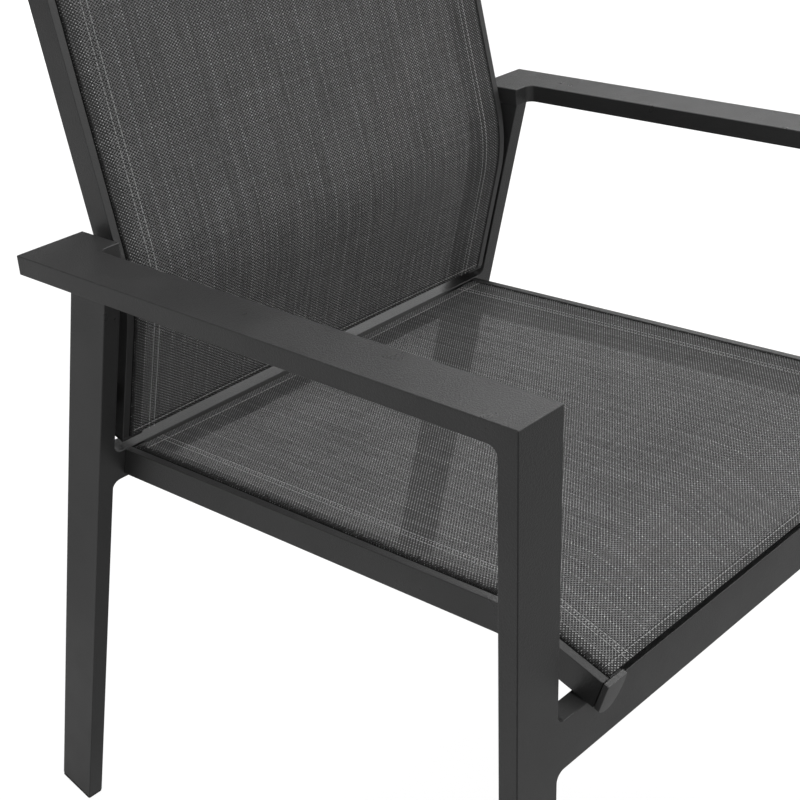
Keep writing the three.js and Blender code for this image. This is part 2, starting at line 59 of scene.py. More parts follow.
Colour = tuple[float, float, float, float]
Fade = tuple[float, float, float, float]
Ring = list[Vector]


def grey(level: float) -> Colour:
    """Neutral colour of a linear level."""
    return (level, level, level, 1.0)


class Hand(Enum):
    """Side of the chair, with the sign of X there."""

    RIGHT = -1
    LEFT = 1

    @property
    def word(self) -> str:
        """Ending of the names on this side."""
        return self.name.lower()


class Slot(Enum):
    """Material slots of the record."""

    COAT = "powder_coat"
    CAP = "rail_cap"
    PLASTIC = "black_plastic"
    FABRIC = "sling_fabric"
    CORD = "keder_cord"
    STEEL = "zinc_steel"


# ---- Side-view geometry ----

def cross(a: Vector, b: Vector) -> float:
    """Cross product of two side-view directions."""
    return a.x * b.y - a.y * b.x


def meet(point_a: Vector, way_a: Vector, point_b: Vector, way_b: Vector) -> Vector:
    """Point where two side-view lines meet.

    Args:
        point_a: A point on the first line.
        way_a: Direction of the first line.
        point_b: A point on the second line.
        way_b: Direction of the second line.

    Returns:
        The common point.
    """
    return point_a + way_a * (cross(point_b - point_a, way_b) / cross(way_a, way_b))


def turned(point: Vector, centre: Vector, angle: float) -> Vector:
    """A point turned about a centre, anticlockwise in the side view."""
    arm = point - centre
    cosine, sine = math.cos(angle), math.sin(angle)
    return centre + Vector((arm.x * cosine - arm.y * sine, arm.x * sine + arm.y * cosine))


def swept(start: Vector, end: Vector, centre: Vector, steps: int) -> list[Vector]:
    """Points on the arc from a start to an end about a centre, both ends among them."""
    first, last = start - centre, end - centre
    angle = math.atan2(cross(first, last), first.dot(last))
    return [turned(start, centre, angle * step / steps) for step in range(steps + 1)]


def bent_path(start: Vector, corner: Vector, end: Vector, radius: float, steps: int) -> list[Vector]:
    """Two straight runs joined by one bend.

    Args:
        start: First point.
        corner: Where the runs would meet without the bend.
        end: Last point.
        radius: Radius of the bend.
        steps: Number of chords in the bend.

    Returns:
        The points of the path, the bend's ends among them.
    """
    into = (corner - start).normalized()
    out = (end - corner).normalized()
    turn = math.atan2(cross(into, out), into.dot(out))
    bend_start = corner - into * (radius * math.tan(abs(turn) / 2))
    towards = Vector((-into.y, into.x)) * math.copysign(1.0, turn)
    centre = bend_start + towards * radius
    bend = [turned(bend_start, centre, turn * step / steps) for step in range(steps + 1)]
    return [start, *bend, end]


def measured(points: Sequence[tuple[float, ...]]) -> list[tuple[float, ...]]:
    """Points with their distance from the first one, along the line through them, added to each."""
    out, travelled = [], 0.0
    for index, point in enumerate(points):
        if index:
            travelled += math.dist(point, points[index - 1])
        out.append((*point, travelled))
    return out


class Track:
    """A side-view path that can be asked for its point and direction at any distance."""

    def __init__(self, points: Sequence[Vector]) -> None:
        """Keep the points and their distances."""
        self.points = list(points)
        self.lengths = [0.0]
        for before, after in zip(self.points, self.points[1:]):
            self.lengths.append(self.lengths[-1] + (after - before).length)
        self.length = self.lengths[-1]

    def _piece(self, distance: float) -> tuple[int, float]:
        """Segment that holds a distance, and the share along it."""
        last = len(self.points) - 1
        index = 1
        while index < last and self.lengths[index] < distance:
            index += 1
        span = self.lengths[index] - self.lengths[index - 1]
        return index, (distance - self.lengths[index - 1]) / span

    def at(self, distance: float) -> Vector:
        """Point at a distance. Beyond an end the path runs straight on."""
        index, share = self._piece(distance)
        return self.points[index - 1].lerp(self.points[index], share)

    def way(self, distance: float, reach: float = 0.0015) -> Vector:
        """Direction of travel at a distance."""
        return (self.at(distance + reach) - self.at(distance - reach)).normalized()

    def place(self, distance: float, depth: float) -> Vector:
        """Point at a distance and a depth to the left of the way, as seen from +X."""
        way = self.way(distance)
        return self.at(distance) + Vector((-way.y, way.x)) * depth

    def marks(self, start: float, end: float, spacing: float) -> list[float]:
        """Distances from start to end about a spacing apart, and at each of the path's points."""
        count = max(1, round((end - start) / spacing))
        even = [start + (end - start) * step / count for step in range(count + 1)]
        slack = spacing / 3
        corners = [at for at in self.lengths if start + slack < at < end - slack]
        kept = [at for at in even[1:-1] if all(abs(at - corner) > slack for corner in corners)]
        return sorted([start, *kept, *corners, end])


@dataclass
class SideView:
    """Leans, heights and paths that the pieces are built on, as in the solids."""

    width: float = 0.570
    arm_front_height: float = 0.647
    arm_rear_height: float = 0.6045
    arm_reach: float = 0.4596
    back_height: float = 0.900
    bar_width: float = 0.040
    bar_thickness: float = 0.015
    tab_length: float = 0.044
    rear_leg_inset: float = 0.0436
    seat_inset: float = 0.0693
    back_inset: float = 0.0646
    front_lean: float = math.radians(2.55)
    rear_lean: float = math.radians(10.9)
    front_rail_top: float = 0.4232
    rear_rail_top: float = 0.414
    rail_outer_depth: float = 0.0237
    fit_gap: float = 0.0003
    seat_dip: float = math.radians(14.3)
    seat_crest_setback: float = 0.0637
    seat_overhang: float = 0.0104
    seat_bend_radius: float = 0.100
    back_lead: float = 0.002
    back_clearance: float = 0.013
    lumbar_height: float = 0.5616
    back_recline: float = math.radians(16.3)
    back_bend_radius: float = 0.135
    end_cap_thickness: float = 0.0026
    bolt_depth: float = 0.0155
    lower_bolt_rise: float = 0.034
    bend_steps: int = 20
    shift: float = 0.0

    def __post_init__(self) -> None:
        """Lay the lines out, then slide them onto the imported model."""
        self._lay_out()
        low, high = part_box("upper_spacer_right")
        self.shift = (low[1] + high[1]) / 2 - self.upper_bolt.x
        self._lay_out()
        LOG.info("side view shifted %.4f m, height error %.5f m", self.shift,
                 (low[2] + high[2]) / 2 - self.upper_bolt.y)

    def _lay_out(self) -> None:
        """Work out every side-view point and direction."""
        slope = math.atan2(self.arm_front_height - self.arm_rear_height, self.arm_reach)
        self.arm_rear_top = Vector((self.shift, self.arm_rear_height))
        self.arm_front_top = Vector((self.shift - self.arm_reach, self.arm_front_height))
        self.arm_length = (self.arm_rear_top - self.arm_front_top).length
        self.arm_rearward = (self.arm_rear_top - self.arm_front_top).normalized()
        self.arm_down = Vector((-math.sin(slope), -math.cos(slope)))
        self.front_down = Vector((-math.sin(self.front_lean), -math.cos(self.front_lean)))
        self.front_rearward = Vector((math.cos(self.front_lean), -math.sin(self.front_lean)))
        self.rear_down = Vector((math.sin(self.rear_lean), -math.cos(self.rear_lean)))
        self.rear_rearward = Vector((math.cos(self.rear_lean), math.sin(self.rear_lean)))
        self.arm_under = self.arm_rear_top + self.arm_down * self.bar_thickness
        self.tab_front = self.arm_under - self.arm_rearward * self.tab_length
        leg_back = self.arm_front_top + self.front_rearward * self.bar_thickness
        self.elbow = meet(self.arm_under, self.arm_rearward, leg_back, self.front_down)
        self.front_rail_drop = (self.arm_front_top.y - self.front_rail_top) / math.cos(self.front_lean)
        self.rear_rail_drop = (self.tab_front.y - self.rear_rail_top) / math.cos(self.rear_lean)
        self._lay_out_seat()
        self._lay_out_back()

    def _lay_out_seat(self) -> None:
        """Path of the seat rails' strips, from the rear cross rail to the front."""
        rear = self.tab_front + self.rear_down * self.rear_rail_drop
        edge = self.arm_front_top + self.front_down * self.front_rail_drop
        rest = edge + self.front_rearward * (self.bar_thickness / 2)
        lift = (self.rail_outer_depth + self.fit_gap) / math.cos(self.seat_dip)
        slope = math.tan(self.seat_dip)

        def on_dip(y: float) -> Vector:
            """Point on the dipping front part of the strips' line."""
            return Vector((y, rest.y + lift + slope * (y - rest.x)))

        crest = on_dip(edge.x + self.seat_crest_setback)
        front = on_dip(edge.x - self.seat_overhang)
        self.seat = Track(bent_path(rear, crest, front, self.seat_bend_radius, self.bend_steps))

    def _rear_face_at(self, height: float) -> float:
        """Y of the rear legs' front faces at a height."""
        return self.tab_front.x + (self.tab_front.y - height) * math.tan(self.rear_lean)

    def _lay_out_back(self) -> None:
        """Path of the back rails' strips, from the top to the foot, and the bolts' places."""
        foot_height = self.rear_rail_top + self.back_clearance
        lumbar = Vector((self._rear_face_at(self.lumbar_height) - self.back_lead, self.lumbar_height))
        foot = Vector((self._rear_face_at(foot_height) - self.back_lead, foot_height))
        top_height = self.back_height - self.end_cap_thickness - self.fit_gap
        top = Vector((lumbar.x + (top_height - lumbar.y) * math.tan(self.back_recline), top_height))
        path = bent_path(top, lumbar, foot, self.back_bend_radius, self.bend_steps)
        self.back = Track(path)
        middle = path[1 + self.bend_steps // 2]
        across = (path[2 + self.bend_steps // 2] - path[self.bend_steps // 2]).normalized()
        self.upper_bolt = middle + Vector((-across.y, across.x)) * self.bolt_depth
        downward = (foot - lumbar).normalized()
        rearward = Vector((-downward.y, downward.x))
        self.lower_bolt = foot - downward * self.lower_bolt_rise + rearward * self.bolt_depth

    @property
    def rear_leg_inner(self) -> float:
        """Inboard distance of the rear legs' inner faces."""
        return self.rear_leg_inset + self.bar_thickness

    def leg_reach(self, top_height: float, lean: float, land: float) -> float:
        """Length of a leg with its cap, down to a level land."""
        return (top_height + land * math.tan(lean)) / math.cos(lean)

    def x(self, hand: Hand, inboard: float) -> float:
        """X of an inboard distance."""
        return hand.value * (self.width / 2 - inboard)

    def point(self, hand: Hand, inboard: float, place: Vector) -> Vector:
        """A point of the chair from an inboard distance and a side-view point."""
        return Vector((self.x(hand, inboard), place.x, place.y))


# ---- Mesh work ----

def arc(centre: Pair, radius: float, start: float, end: float, steps: int) -> list[Pair]:
    """Points on a circle between two angles in degrees, both ends among them."""
    angles = [math.radians(start + (end - start) * step / steps) for step in range(steps + 1)]
    return [(centre[0] + radius * math.cos(a), centre[1] + radius * math.sin(a)) for a in angles]


def rounded(points: Sequence[Pair], radii: dict[int, float], steps: int = 3) -> list[Pair]:
    """A polygon with some of its corners rounded.

    Args:
        points: The polygon's corners.
        radii: Radius for each corner that is rounded, by its number.
        steps: Chords in each rounded corner.

    Returns:
        The new outline.
    """
    out: list[Pair] = []
    count = len(points)
    for index, point in enumerate(points):
        if index not in radii:
            out.append(point)
            continue
        here = Vector(point)
        before = (Vector(points[index - 1]) - here).normalized()
        after = (Vector(points[(index + 1) % count]) - here).normalized()
        half = math.acos(max(-1.0, min(1.0, before.dot(after)))) / 2
        reach = radii[index] / math.tan(half)
        first, last = here + before * reach, here + after * reach
        centre = here + (before + after).normalized() * (radii[index] / math.sin(half))
        out.extend(tuple(place) for place in swept(first, last, centre, steps))
    return out


def spline(points: Sequence[Pair], steps: int) -> list[Pair]:
    """A smooth curve through points, with a number of chords between neighbours."""
    knots = [Vector(point) for point in points]
    last = len(knots) - 1
    out: list[Pair] = [tuple(knots[0])]
    for index in range(last):
        before, start, end, after = (knots[max(index - 1, 0)], knots[index], knots[index + 1],
                                     knots[min(index + 2, last)])
        into, out_of = (end - before) / 2, (after - start) / 2
        for step in range(1, steps + 1):
            t = step / steps
            cubic = (start * 2 - end * 2 + into + out_of) * t ** 3
            square = (end * 3 - start * 3 - into * 2 - out_of) * t ** 2
            out.append(tuple(cubic + square + into * t + start))
    return out


def put(name: str, data: bpy.types.ID) -> bpy.types.Object:
    """Stand an object with this data in the scene."""
    made = bpy.data.objects.new(name, data)
    bpy.context.collection.objects.link(made)
    return made


class Bench:
    """Where meshes are put together and finished."""

    FLAT = math.radians(0.05)
    SHARP = math.radians(28)
    TURNED_SHARP = math.radians(35)
    MERGE = 1e-6
    MERGE_FINE = 1e-7
    WEIGHT_LAYER = "bevel_weight_edge"

    @staticmethod
    def fill(bm: bmesh.types.BMesh, points: Iterable[Vector]) -> None:
        """Add one face through new vertices."""
        bm.faces.new([bm.verts.new(point) for point in points])

    @staticmethod
    def loft(bm: bmesh.types.BMesh, rings: Sequence[Ring]) -> None:
        """Join closed rings of equal count by quads, and close both ends.

        Args:
            bm: Mesh to add to.
            rings: The rings in order.
        """
        made = [[bm.verts.new(point) for point in ring] for ring in rings]
        for before, after in zip(made, made[1:]):
            for index in range(len(before)):
                following = (index + 1) % len(before)
                bm.faces.new([before[index], before[following], after[following], after[index]])
        bm.faces.new(list(reversed(made[0])))
        bm.faces.new(made[-1])

    @staticmethod
    def close(bm: bmesh.types.BMesh) -> None:
        """Merge doubles, drop edges inside flat faces and point all faces outwards."""
        bmesh.ops.remove_doubles(bm, verts=bm.verts, dist=Bench.MERGE)
        bmesh.ops.recalc_face_normals(bm, faces=bm.faces)
        flat = [edge for edge in bm.edges
                if len(edge.link_faces) == 2 and edge.calc_face_angle(1.0) < Bench.FLAT]
        bmesh.ops.dissolve_edges(bm, edges=flat, use_verts=False, use_face_split=False)
        bm.normal_update()

    @staticmethod
    def weigh(bm: bmesh.types.BMesh, share: Callable[[Vector, Vector], float] | None = None) -> None:
        """Give each sharp edge its bevel weight.

        Args:
            bm: Mesh whose edges are weighed.
            share: Weight for an edge from its two ends, where it isn't 1.
        """
        layers = bm.edges.layers.float
        layer = layers.get(Bench.WEIGHT_LAYER) or layers.new(Bench.WEIGHT_LAYER)
        for edge in bm.edges:
            if len(edge.link_faces) == 2 and edge.calc_face_angle(0.0) > Bench.SHARP:
                edge[layer] = share(edge.verts[0].co, edge.verts[1].co) if share else 1.0
                edge.smooth = edge[layer] > 0

    @staticmethod
    def weigh_crosswise(bm: bmesh.types.BMesh, reach: float = 0.1) -> None:
        """Give a bevel weight only to the long edges that run across the chair."""
        Bench.weigh(bm, lambda a, b: float(abs(a.x - b.x) > reach))

    @staticmethod
    def mirror(bm: bmesh.types.BMesh, hand: Hand) -> None:
        """Turn a right-hand mesh into the left-hand one, where that is asked for."""
        if hand is Hand.LEFT:
            for vertex in bm.verts:
                vertex.co.x = -vertex.co.x
            bmesh.ops.reverse_faces(bm, faces=bm.faces)

    @staticmethod
    def plain(name: str, source: bpy.types.Object, material: bpy.types.Material) -> bpy.types.Object:
        """A plain mesh object from an object with its modifiers applied.

        Args:
            name: Name of the new object.
            source: Object with live modifiers. It is removed.
            material: The only material of the new mesh.

        Returns:
            The finished object, at the origin.
        """
        graph = bpy.context.evaluated_depsgraph_get()
        mesh = bpy.data.meshes.new_from_object(source.evaluated_get(graph), depsgraph=graph)
        rough = source.data
        bpy.data.objects.remove(source)
        bpy.data.meshes.remove(rough)
        mesh.name = name
        mesh.materials.clear()
        mesh.materials.append(material)
        return put(name, mesh)

    @staticmethod
    def loose(name: str, bm: bmesh.types.BMesh, sharp: float | None = None) -> bpy.types.Object:
        """An object with smooth shading from a mesh.

        Args:
            name: Name of the object.
            bm: Its mesh. It is freed.
            sharp: Angle past which an edge stays sharp, if any does.

        Returns:
            The object.
        """
        mesh = bpy.data.meshes.new(name)
        bm.to_mesh(mesh)
        bm.free()
        mesh.shade_smooth()
        if sharp is not None:
            mesh.set_sharp_from_angle(angle=sharp)
        return put(name, mesh)

    @staticmethod
    def finish(name: str, bm: bmesh.types.BMesh, material: bpy.types.Material, edge: float = 0.0,
               segments: int = 3) -> bpy.types.Object:
        """Make a piece from a mesh, with rounded edges and even shading.

        Args:
            name: Name of the piece.
            bm: Its mesh, with bevel weights where edge isn't 0. It is freed.
            material: Its material.
            edge: Width of the rounding.
            segments: Chords of the rounding.

        Returns:
            The finished object.
        """
        rough = Bench.loose(f"{name}_rough", bm, None if edge else Bench.SHARP)
        if edge:
            bevel = rough.modifiers.new("edges", "BEVEL")
            bevel.limit_method = "WEIGHT"
            bevel.width = edge
            bevel.segments = segments
            bevel.use_clamp_overlap = False
            bevel.loop_slide = True
        shade = rough.modifiers.new("shading", "WEIGHTED_NORMAL")
        shade.keep_sharp = True
        shade.weight = 100
        return Bench.plain(name, rough, material)


def enrol(piece: bpy.types.Object, slot: Slot, *nodes: str) -> bpy.types.Object:
    """Fix a piece to the chair's one body and name what it stands for.

    Args:
        piece: The finished piece.
        slot: Material slot of its finish. Not used.
        *nodes: Solids that it replaces.

    Returns:
        The same piece.
    """
    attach(piece, "root")
    if nodes:
        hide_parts(*nodes)
    LOG.info("%s: %d faces, stands for %s", piece.name, len(piece.data.polygons),
             ", ".join(nodes) or "-")
    return piece


def both_sides(name: str, make: Callable[[], bmesh.types.BMesh], finish: bpy.types.Material,
               slot: Slot, nodes: Sequence[str], edge: float = 0.0, segments: int = 3) -> None:
    """Make a piece on each side of the chair from its right-hand mesh, and enrol both.

    Args:
        name: Name of the piece, without its side.
        make: Builds the right-hand mesh.
        finish: Material of the piece.
        slot: Material slot of its finish, handed on to enrol.
        nodes: Solids that it replaces, without their side.
        edge: Width of the rounding.
        segments: Chords of the rounding.
    """
    for hand in Hand:
        bm = make()
        Bench.mirror(bm, hand)
        enrol(Bench.finish(f"{name}_{hand.word}", bm, finish, edge, segments), slot,
              *(f"{node}_{hand.word}" for node in nodes))


# ---- Node trees ----

class Wiring:
    """Places nodes in a tree and joins them."""

    COLUMN, ROW, ROWS = 180, 160, 5

    def __init__(self, tree: bpy.types.NodeTree) -> None:
        """Start with a tree whose nodes are placed from left to right."""
        self.tree = tree
        self.column = 0

    def node(self, kind: str, **settings: object) -> bpy.types.Node:
        """Add a node.

        Args:
            kind: The node's type.
            **settings: Attributes of the node.

        Returns:
            The new node.
        """
        made = self.tree.nodes.new(kind)
        self.column += 1
        made.location = (self.column * self.COLUMN, -(self.column % self.ROWS) * self.ROW)
        for key, value in settings.items():
            setattr(made, key, value)
        return made

    def feed(self, socket: bpy.types.NodeSocket, value: object) -> None:
        """Link a socket to another, or give it a plain value."""
        if isinstance(value, bpy.types.NodeSocket):
            self.tree.links.new(value, socket)
        elif value is not None:
            socket.default_value = value

    def fed(self, kind: str, values: dict[str | int, object], **settings: object) -> bpy.types.Node:
        """Add a node and feed its inputs.

        Args:
            kind: The node's type.
            values: Sockets or plain values for its inputs, by name or number.
            **settings: Attributes of the node.

        Returns:
            The new node.
        """
        made = self.node(kind, **settings)
        for key, value in values.items():
            self.feed(made.inputs[key], value)
        return made

    def math(self, operation: str, *values: object, clamp: bool = False) -> bpy.types.NodeSocket:
        """Result of a Math node for up to three values."""
        return self.fed("ShaderNodeMath", dict(enumerate(values)), operation=operation,
                        use_clamp=clamp).outputs[0]

    def span(self, value: object, low: float, high: float, to_low: float = 0.0,
             to_high: float = 1.0, smooth: bool = False) -> bpy.types.NodeSocket:
        """A value carried from one range to another, and kept inside it."""
        return self.fed("ShaderNodeMapRange", {"Value": value, "From Min": low, "From Max": high,
                                               "To Min": to_low, "To Max": to_high},
                        interpolation_type="SMOOTHSTEP" if smooth else "LINEAR").outputs["Result"]

    def times(self, *values: object) -> bpy.types.NodeSocket:
        """Product of two or more values."""
        product = values[0]
        for value in values[1:]:
            product = self.math("MULTIPLY", product, value)
        return product

    def vector(self, *values: object) -> bpy.types.NodeSocket:
        """A vector from up to three values."""
        return self.fed("ShaderNodeCombineXYZ", dict(enumerate(values))).outputs[0]

    def parts(self, vector: bpy.types.NodeSocket) -> Sequence[bpy.types.NodeSocket]:
        """The three values of a vector."""
        return self.fed("ShaderNodeSeparateXYZ", {0: vector}).outputs

    def mix(self, share: object, first: object, second: object) -> bpy.types.NodeSocket:
        """Two colours mixed by a share."""
        return self.fed("ShaderNodeMix", {0: share, 6: first, 7: second}, data_type="RGBA").outputs[2]

    def noise(self, place: object, scale: object, detail: float,
              rough: float) -> bpy.types.NodeSocket:
        """Value of a noise texture at a place."""
        return self.fed("ShaderNodeTexNoise", {"Vector": place, "Scale": scale, "Detail": detail,
                                               "Roughness": rough}).outputs[0]

    def bump(self, height: bpy.types.NodeSocket, depth: float,
             strength: float = 1.0) -> bpy.types.NodeSocket:
        """Normal of a surface that a height from 0 to 1 raises by up to a depth."""
        return self.fed("ShaderNodeBump", {"Strength": strength, "Distance": depth,
                                           "Height": height}).outputs["Normal"]

    def group(self, tree: bpy.types.NodeTree, **values: object) -> bpy.types.Node:
        """Place a node group with values for its inputs, by name with spaces as underscores."""
        named = {key.replace("_", " "): value for key, value in values.items()}
        return self.fed("ShaderNodeGroup", named, node_tree=tree)


def sockets(tree: bpy.types.NodeTree, given: dict[str, tuple[str, object]],
            out: dict[str, str]) -> None:
    """Declare a group's inputs, as name: (kind, default), and its outputs, as name: kind."""
    for name, (kind, default) in given.items():
        made = tree.interface.new_socket(name=name, in_out="INPUT", socket_type=f"NodeSocket{kind}")
        if default is not None:
            made.default_value = default
    for name, kind in out.items():
        tree.interface.new_socket(name=name, in_out="OUTPUT", socket_type=f"NodeSocket{kind}")


def new_material(name: str) -> tuple[bpy.types.Material, Wiring, bpy.types.Node]:
    """A new material, the wiring of its tree, and its Principled BSDF."""
    made = bpy.data.materials.new(name)
    made.use_nodes = True
    return made, Wiring(made.node_tree), made.node_tree.nodes["Principled BSDF"]


class Groups:
    """Shader groups that more than one finish uses, each built once."""

    GRAIN_DETAIL = (3.0, 0.6)
    MOTTLE_DETAIL = (4.0, 0.55)
    SLUB_DETAIL = (3.0, 0.65)
    YARN_DETAIL = (2.0, 0.6)
    SPECK_RANGE = (0.35, 0.7)
    SPECK_TONE = 0.12
    YARN_ROUNDNESS = 0.6
    WARP_BLEND = 0.05
    YARN_DRIFT = 0.02
    STREAK_SCALE = 0.83
    BAR_SCALE = 0.61
    SLUB_STEP = 0.16
    SLUB_DRIFT = 1.1
    SLUB_RANGE = (0.32, 0.68)
    TONE_SHARES = (0.4, 0.34, 0.22)
    LOOM_BEATS = ((4, 0.12), (8, 0.3))
    BEAT_POINT = 8.0

    def __init__(self) -> None:
        """Build them all."""
        self.grain = self._grain()
        self.weave = self._weave()

    @staticmethod
    def _grain() -> bpy.types.NodeTree:
        """Fine surface grain over a slow mottle, on Object coordinates."""
        tree = bpy.data.node_groups.new("surface_grain", "ShaderNodeTree")
        sockets(tree, {"Grain Scale": ("Float", 900.0), "Mottle Scale": ("Float", 22.0),
                       "Mottle Share": ("Float", 0.3)},
                {"Height": "Float", "Tone": "Float", "Mottle": "Float"})
        wire = Wiring(tree)
        given = wire.node("NodeGroupInput")
        place = wire.node("ShaderNodeTexCoord").outputs["Object"]
        fine = wire.noise(place, given.outputs["Grain Scale"], *Groups.GRAIN_DETAIL)
        slow = wire.noise(place, given.outputs["Mottle Scale"], *Groups.MOTTLE_DETAIL)
        speck = wire.span(fine, *Groups.SPECK_RANGE, smooth=True)
        swing = wire.times(wire.math("SUBTRACT", slow, 0.5), given.outputs["Mottle Share"])
        tone = wire.math("ADD", wire.times(speck, Groups.SPECK_TONE), swing)
        wire.fed("NodeGroupOutput", {"Height": speck, "Tone": tone, "Mottle": slow})
        return tree

    @staticmethod
    def _weave() -> bpy.types.NodeTree:
        """Plain weave of round coated yarns, on a UV map counted in yarns. Its Crown output peaks on
        each warp float; used as colour, this shape paints the yarn's highlight and the shade down its
        sides.
        """
        tree = bpy.data.node_groups.new("plain_weave", "ShaderNodeTree")
        sockets(tree, {"Place": ("Vector", None), "Gap Across": ("Float", 0.34),
                       "Gap Along": ("Float", 0.38), "Crown Point": ("Float", 2.0)},
                {"Height": "Float", "Crown": "Float", "Cloth": "Float", "Streak": "Float",
                 "Bar": "Float", "Fleck": "Float"})
        wire = Wiring(tree)
        given = wire.node("NodeGroupInput")
        across, along, _ = wire.parts(given.outputs["Place"])
        wave_u = wire.math("SINE", wire.times(across, math.pi))
        wave_v = wire.math("SINE", wire.times(along, math.pi))
        near_u, near_v = wire.math("ABSOLUTE", wave_u), wire.math("ABSOLUTE", wave_v)
        product = wire.times(wave_u, wave_v)
        # Crown: the warp float's rise, raised to a power. As colour it is a painted highlight on each
        # float, with painted shade down its sides.
        painted_crown_glint = wire.math("POWER", wire.math("MAXIMUM", product, 0.0), given.outputs["Crown Point"])
        warp = wire.span(product, -Groups.WARP_BLEND, Groups.WARP_BLEND, smooth=True)
        lifts = []
        for yarn, other in ((near_u, near_v), (near_v, near_u)):
            rounded_yarn = wire.math("POWER", yarn, Groups.YARN_ROUNDNESS)
            lifts.append(wire.times(rounded_yarn, wire.math("MULTIPLY_ADD", other, 0.5, 0.5)))
        height = wire.math("ADD", wire.times(lifts[0], warp),
                           wire.times(lifts[1], wire.math("SUBTRACT", 1.0, warp)))
        solid_u = wire.math("GREATER_THAN", near_u, given.outputs["Gap Across"])
        solid_v = wire.math("GREATER_THAN", near_v, given.outputs["Gap Along"])
        cloth = wire.math("MAXIMUM", solid_u, solid_v)
        end_number, pick_number = wire.math("FLOOR", across), wire.math("FLOOR", along)
        streak = Groups._yarn_tone(wire, end_number, wire.times(along, Groups.YARN_DRIFT),
                                   Groups.STREAK_SCALE)
        bar = Groups._yarn_tone(wire, pick_number, wire.times(across, Groups.YARN_DRIFT),
                                Groups.BAR_SCALE)
        spot = wire.fed("ShaderNodeTexWhiteNoise", {"Vector": wire.vector(end_number, pick_number)},
                        noise_dimensions="2D")
        wire.fed("NodeGroupOutput", {"Height": height, "Crown": painted_crown_glint, "Cloth": cloth, "Streak": streak,
                                     "Bar": bar, "Fleck": spot.outputs["Value"]})
        return tree

    @staticmethod
    def _yarn_tone(wire: Wiring, number: bpy.types.NodeSocket, drift: bpy.types.NodeSocket,
                   scale: float) -> bpy.types.NodeSocket:
        """Tone of each yarn: its own share, one shared with its neighbours, and a beat of the loom."""
        own = wire.fed("ShaderNodeTexWhiteNoise", {"W": number}, noise_dimensions="1D")
        fine_share, slub_share, own_share = Groups.TONE_SHARES
        slub = wire.vector(wire.times(number, Groups.SLUB_STEP), wire.times(drift, Groups.SLUB_DRIFT))
        soft = wire.span(wire.noise(slub, 1.0, *Groups.SLUB_DETAIL), *Groups.SLUB_RANGE)
        fine = wire.noise(wire.vector(number, drift), scale, *Groups.YARN_DETAIL)
        tone = wire.times(fine, fine_share)
        tone = wire.math("MULTIPLY_ADD", soft, slub_share, tone)
        tone = wire.math("MULTIPLY_ADD", own.outputs["Value"], own_share, tone)
        for beat, share in Groups.LOOM_BEATS:
            wave = wire.math("COSINE", wire.times(number, 2 * math.pi / beat))
            lone = wire.math("POWER", wire.math("MAXIMUM", wave, 0.0), Groups.BEAT_POINT)
            tone = wire.math("MULTIPLY_ADD", lone, share, tone)
        return wire.math("ADD", tone, 0.0, clamp=True)


@dataclass(frozen=True)
class HardFinish:
    """A coat, plastic or metal: one colour with a fine grain and a mottled gloss."""

    name: str
    colour: Colour
    roughness: float
    metallic: float = 0.0
    specular: float = 0.5
    grain_scale: float = 900.0
    grain_depth: float = 0.00002
    mottle_scale: float = 22.0
    tone_swing: float = 0.3
    rough_swing: float = 0.12
    brightest: float = 1.35
    darkest: float = 0.72
    mottle_range: Pair = (0.3, 0.7)

    def material(self, groups: Groups) -> bpy.types.Material:
        """Build the material.

        Args:
            groups: The shared shader groups.

        Returns:
            The material, with its colour, roughness and normal driven by the grain.
        """
        made, wire, shader = new_material(self.name)
        grain = wire.group(groups.grain, Grain_Scale=self.grain_scale, Mottle_Scale=self.mottle_scale,
                           Mottle_Share=self.tone_swing)
        dark, light = (tuple(min(1.0, channel * share) for channel in self.colour[:3]) + (1.0,)
                       for share in (self.darkest, self.brightest))
        tone = wire.math("ADD", grain.outputs["Tone"], 0.5, clamp=True)
        gloss = wire.span(grain.outputs["Mottle"], *self.mottle_range,
                          self.roughness - self.rough_swing / 2, self.roughness + self.rough_swing / 2)
        for key, value in (("Base Color", wire.mix(tone, dark, light)), ("Roughness", gloss),
                           ("Metallic", self.metallic), ("Specular IOR Level", self.specular),
                           ("Normal", wire.bump(grain.outputs["Height"], self.grain_depth))):
            wire.feed(shader.inputs[key], value)
        return made


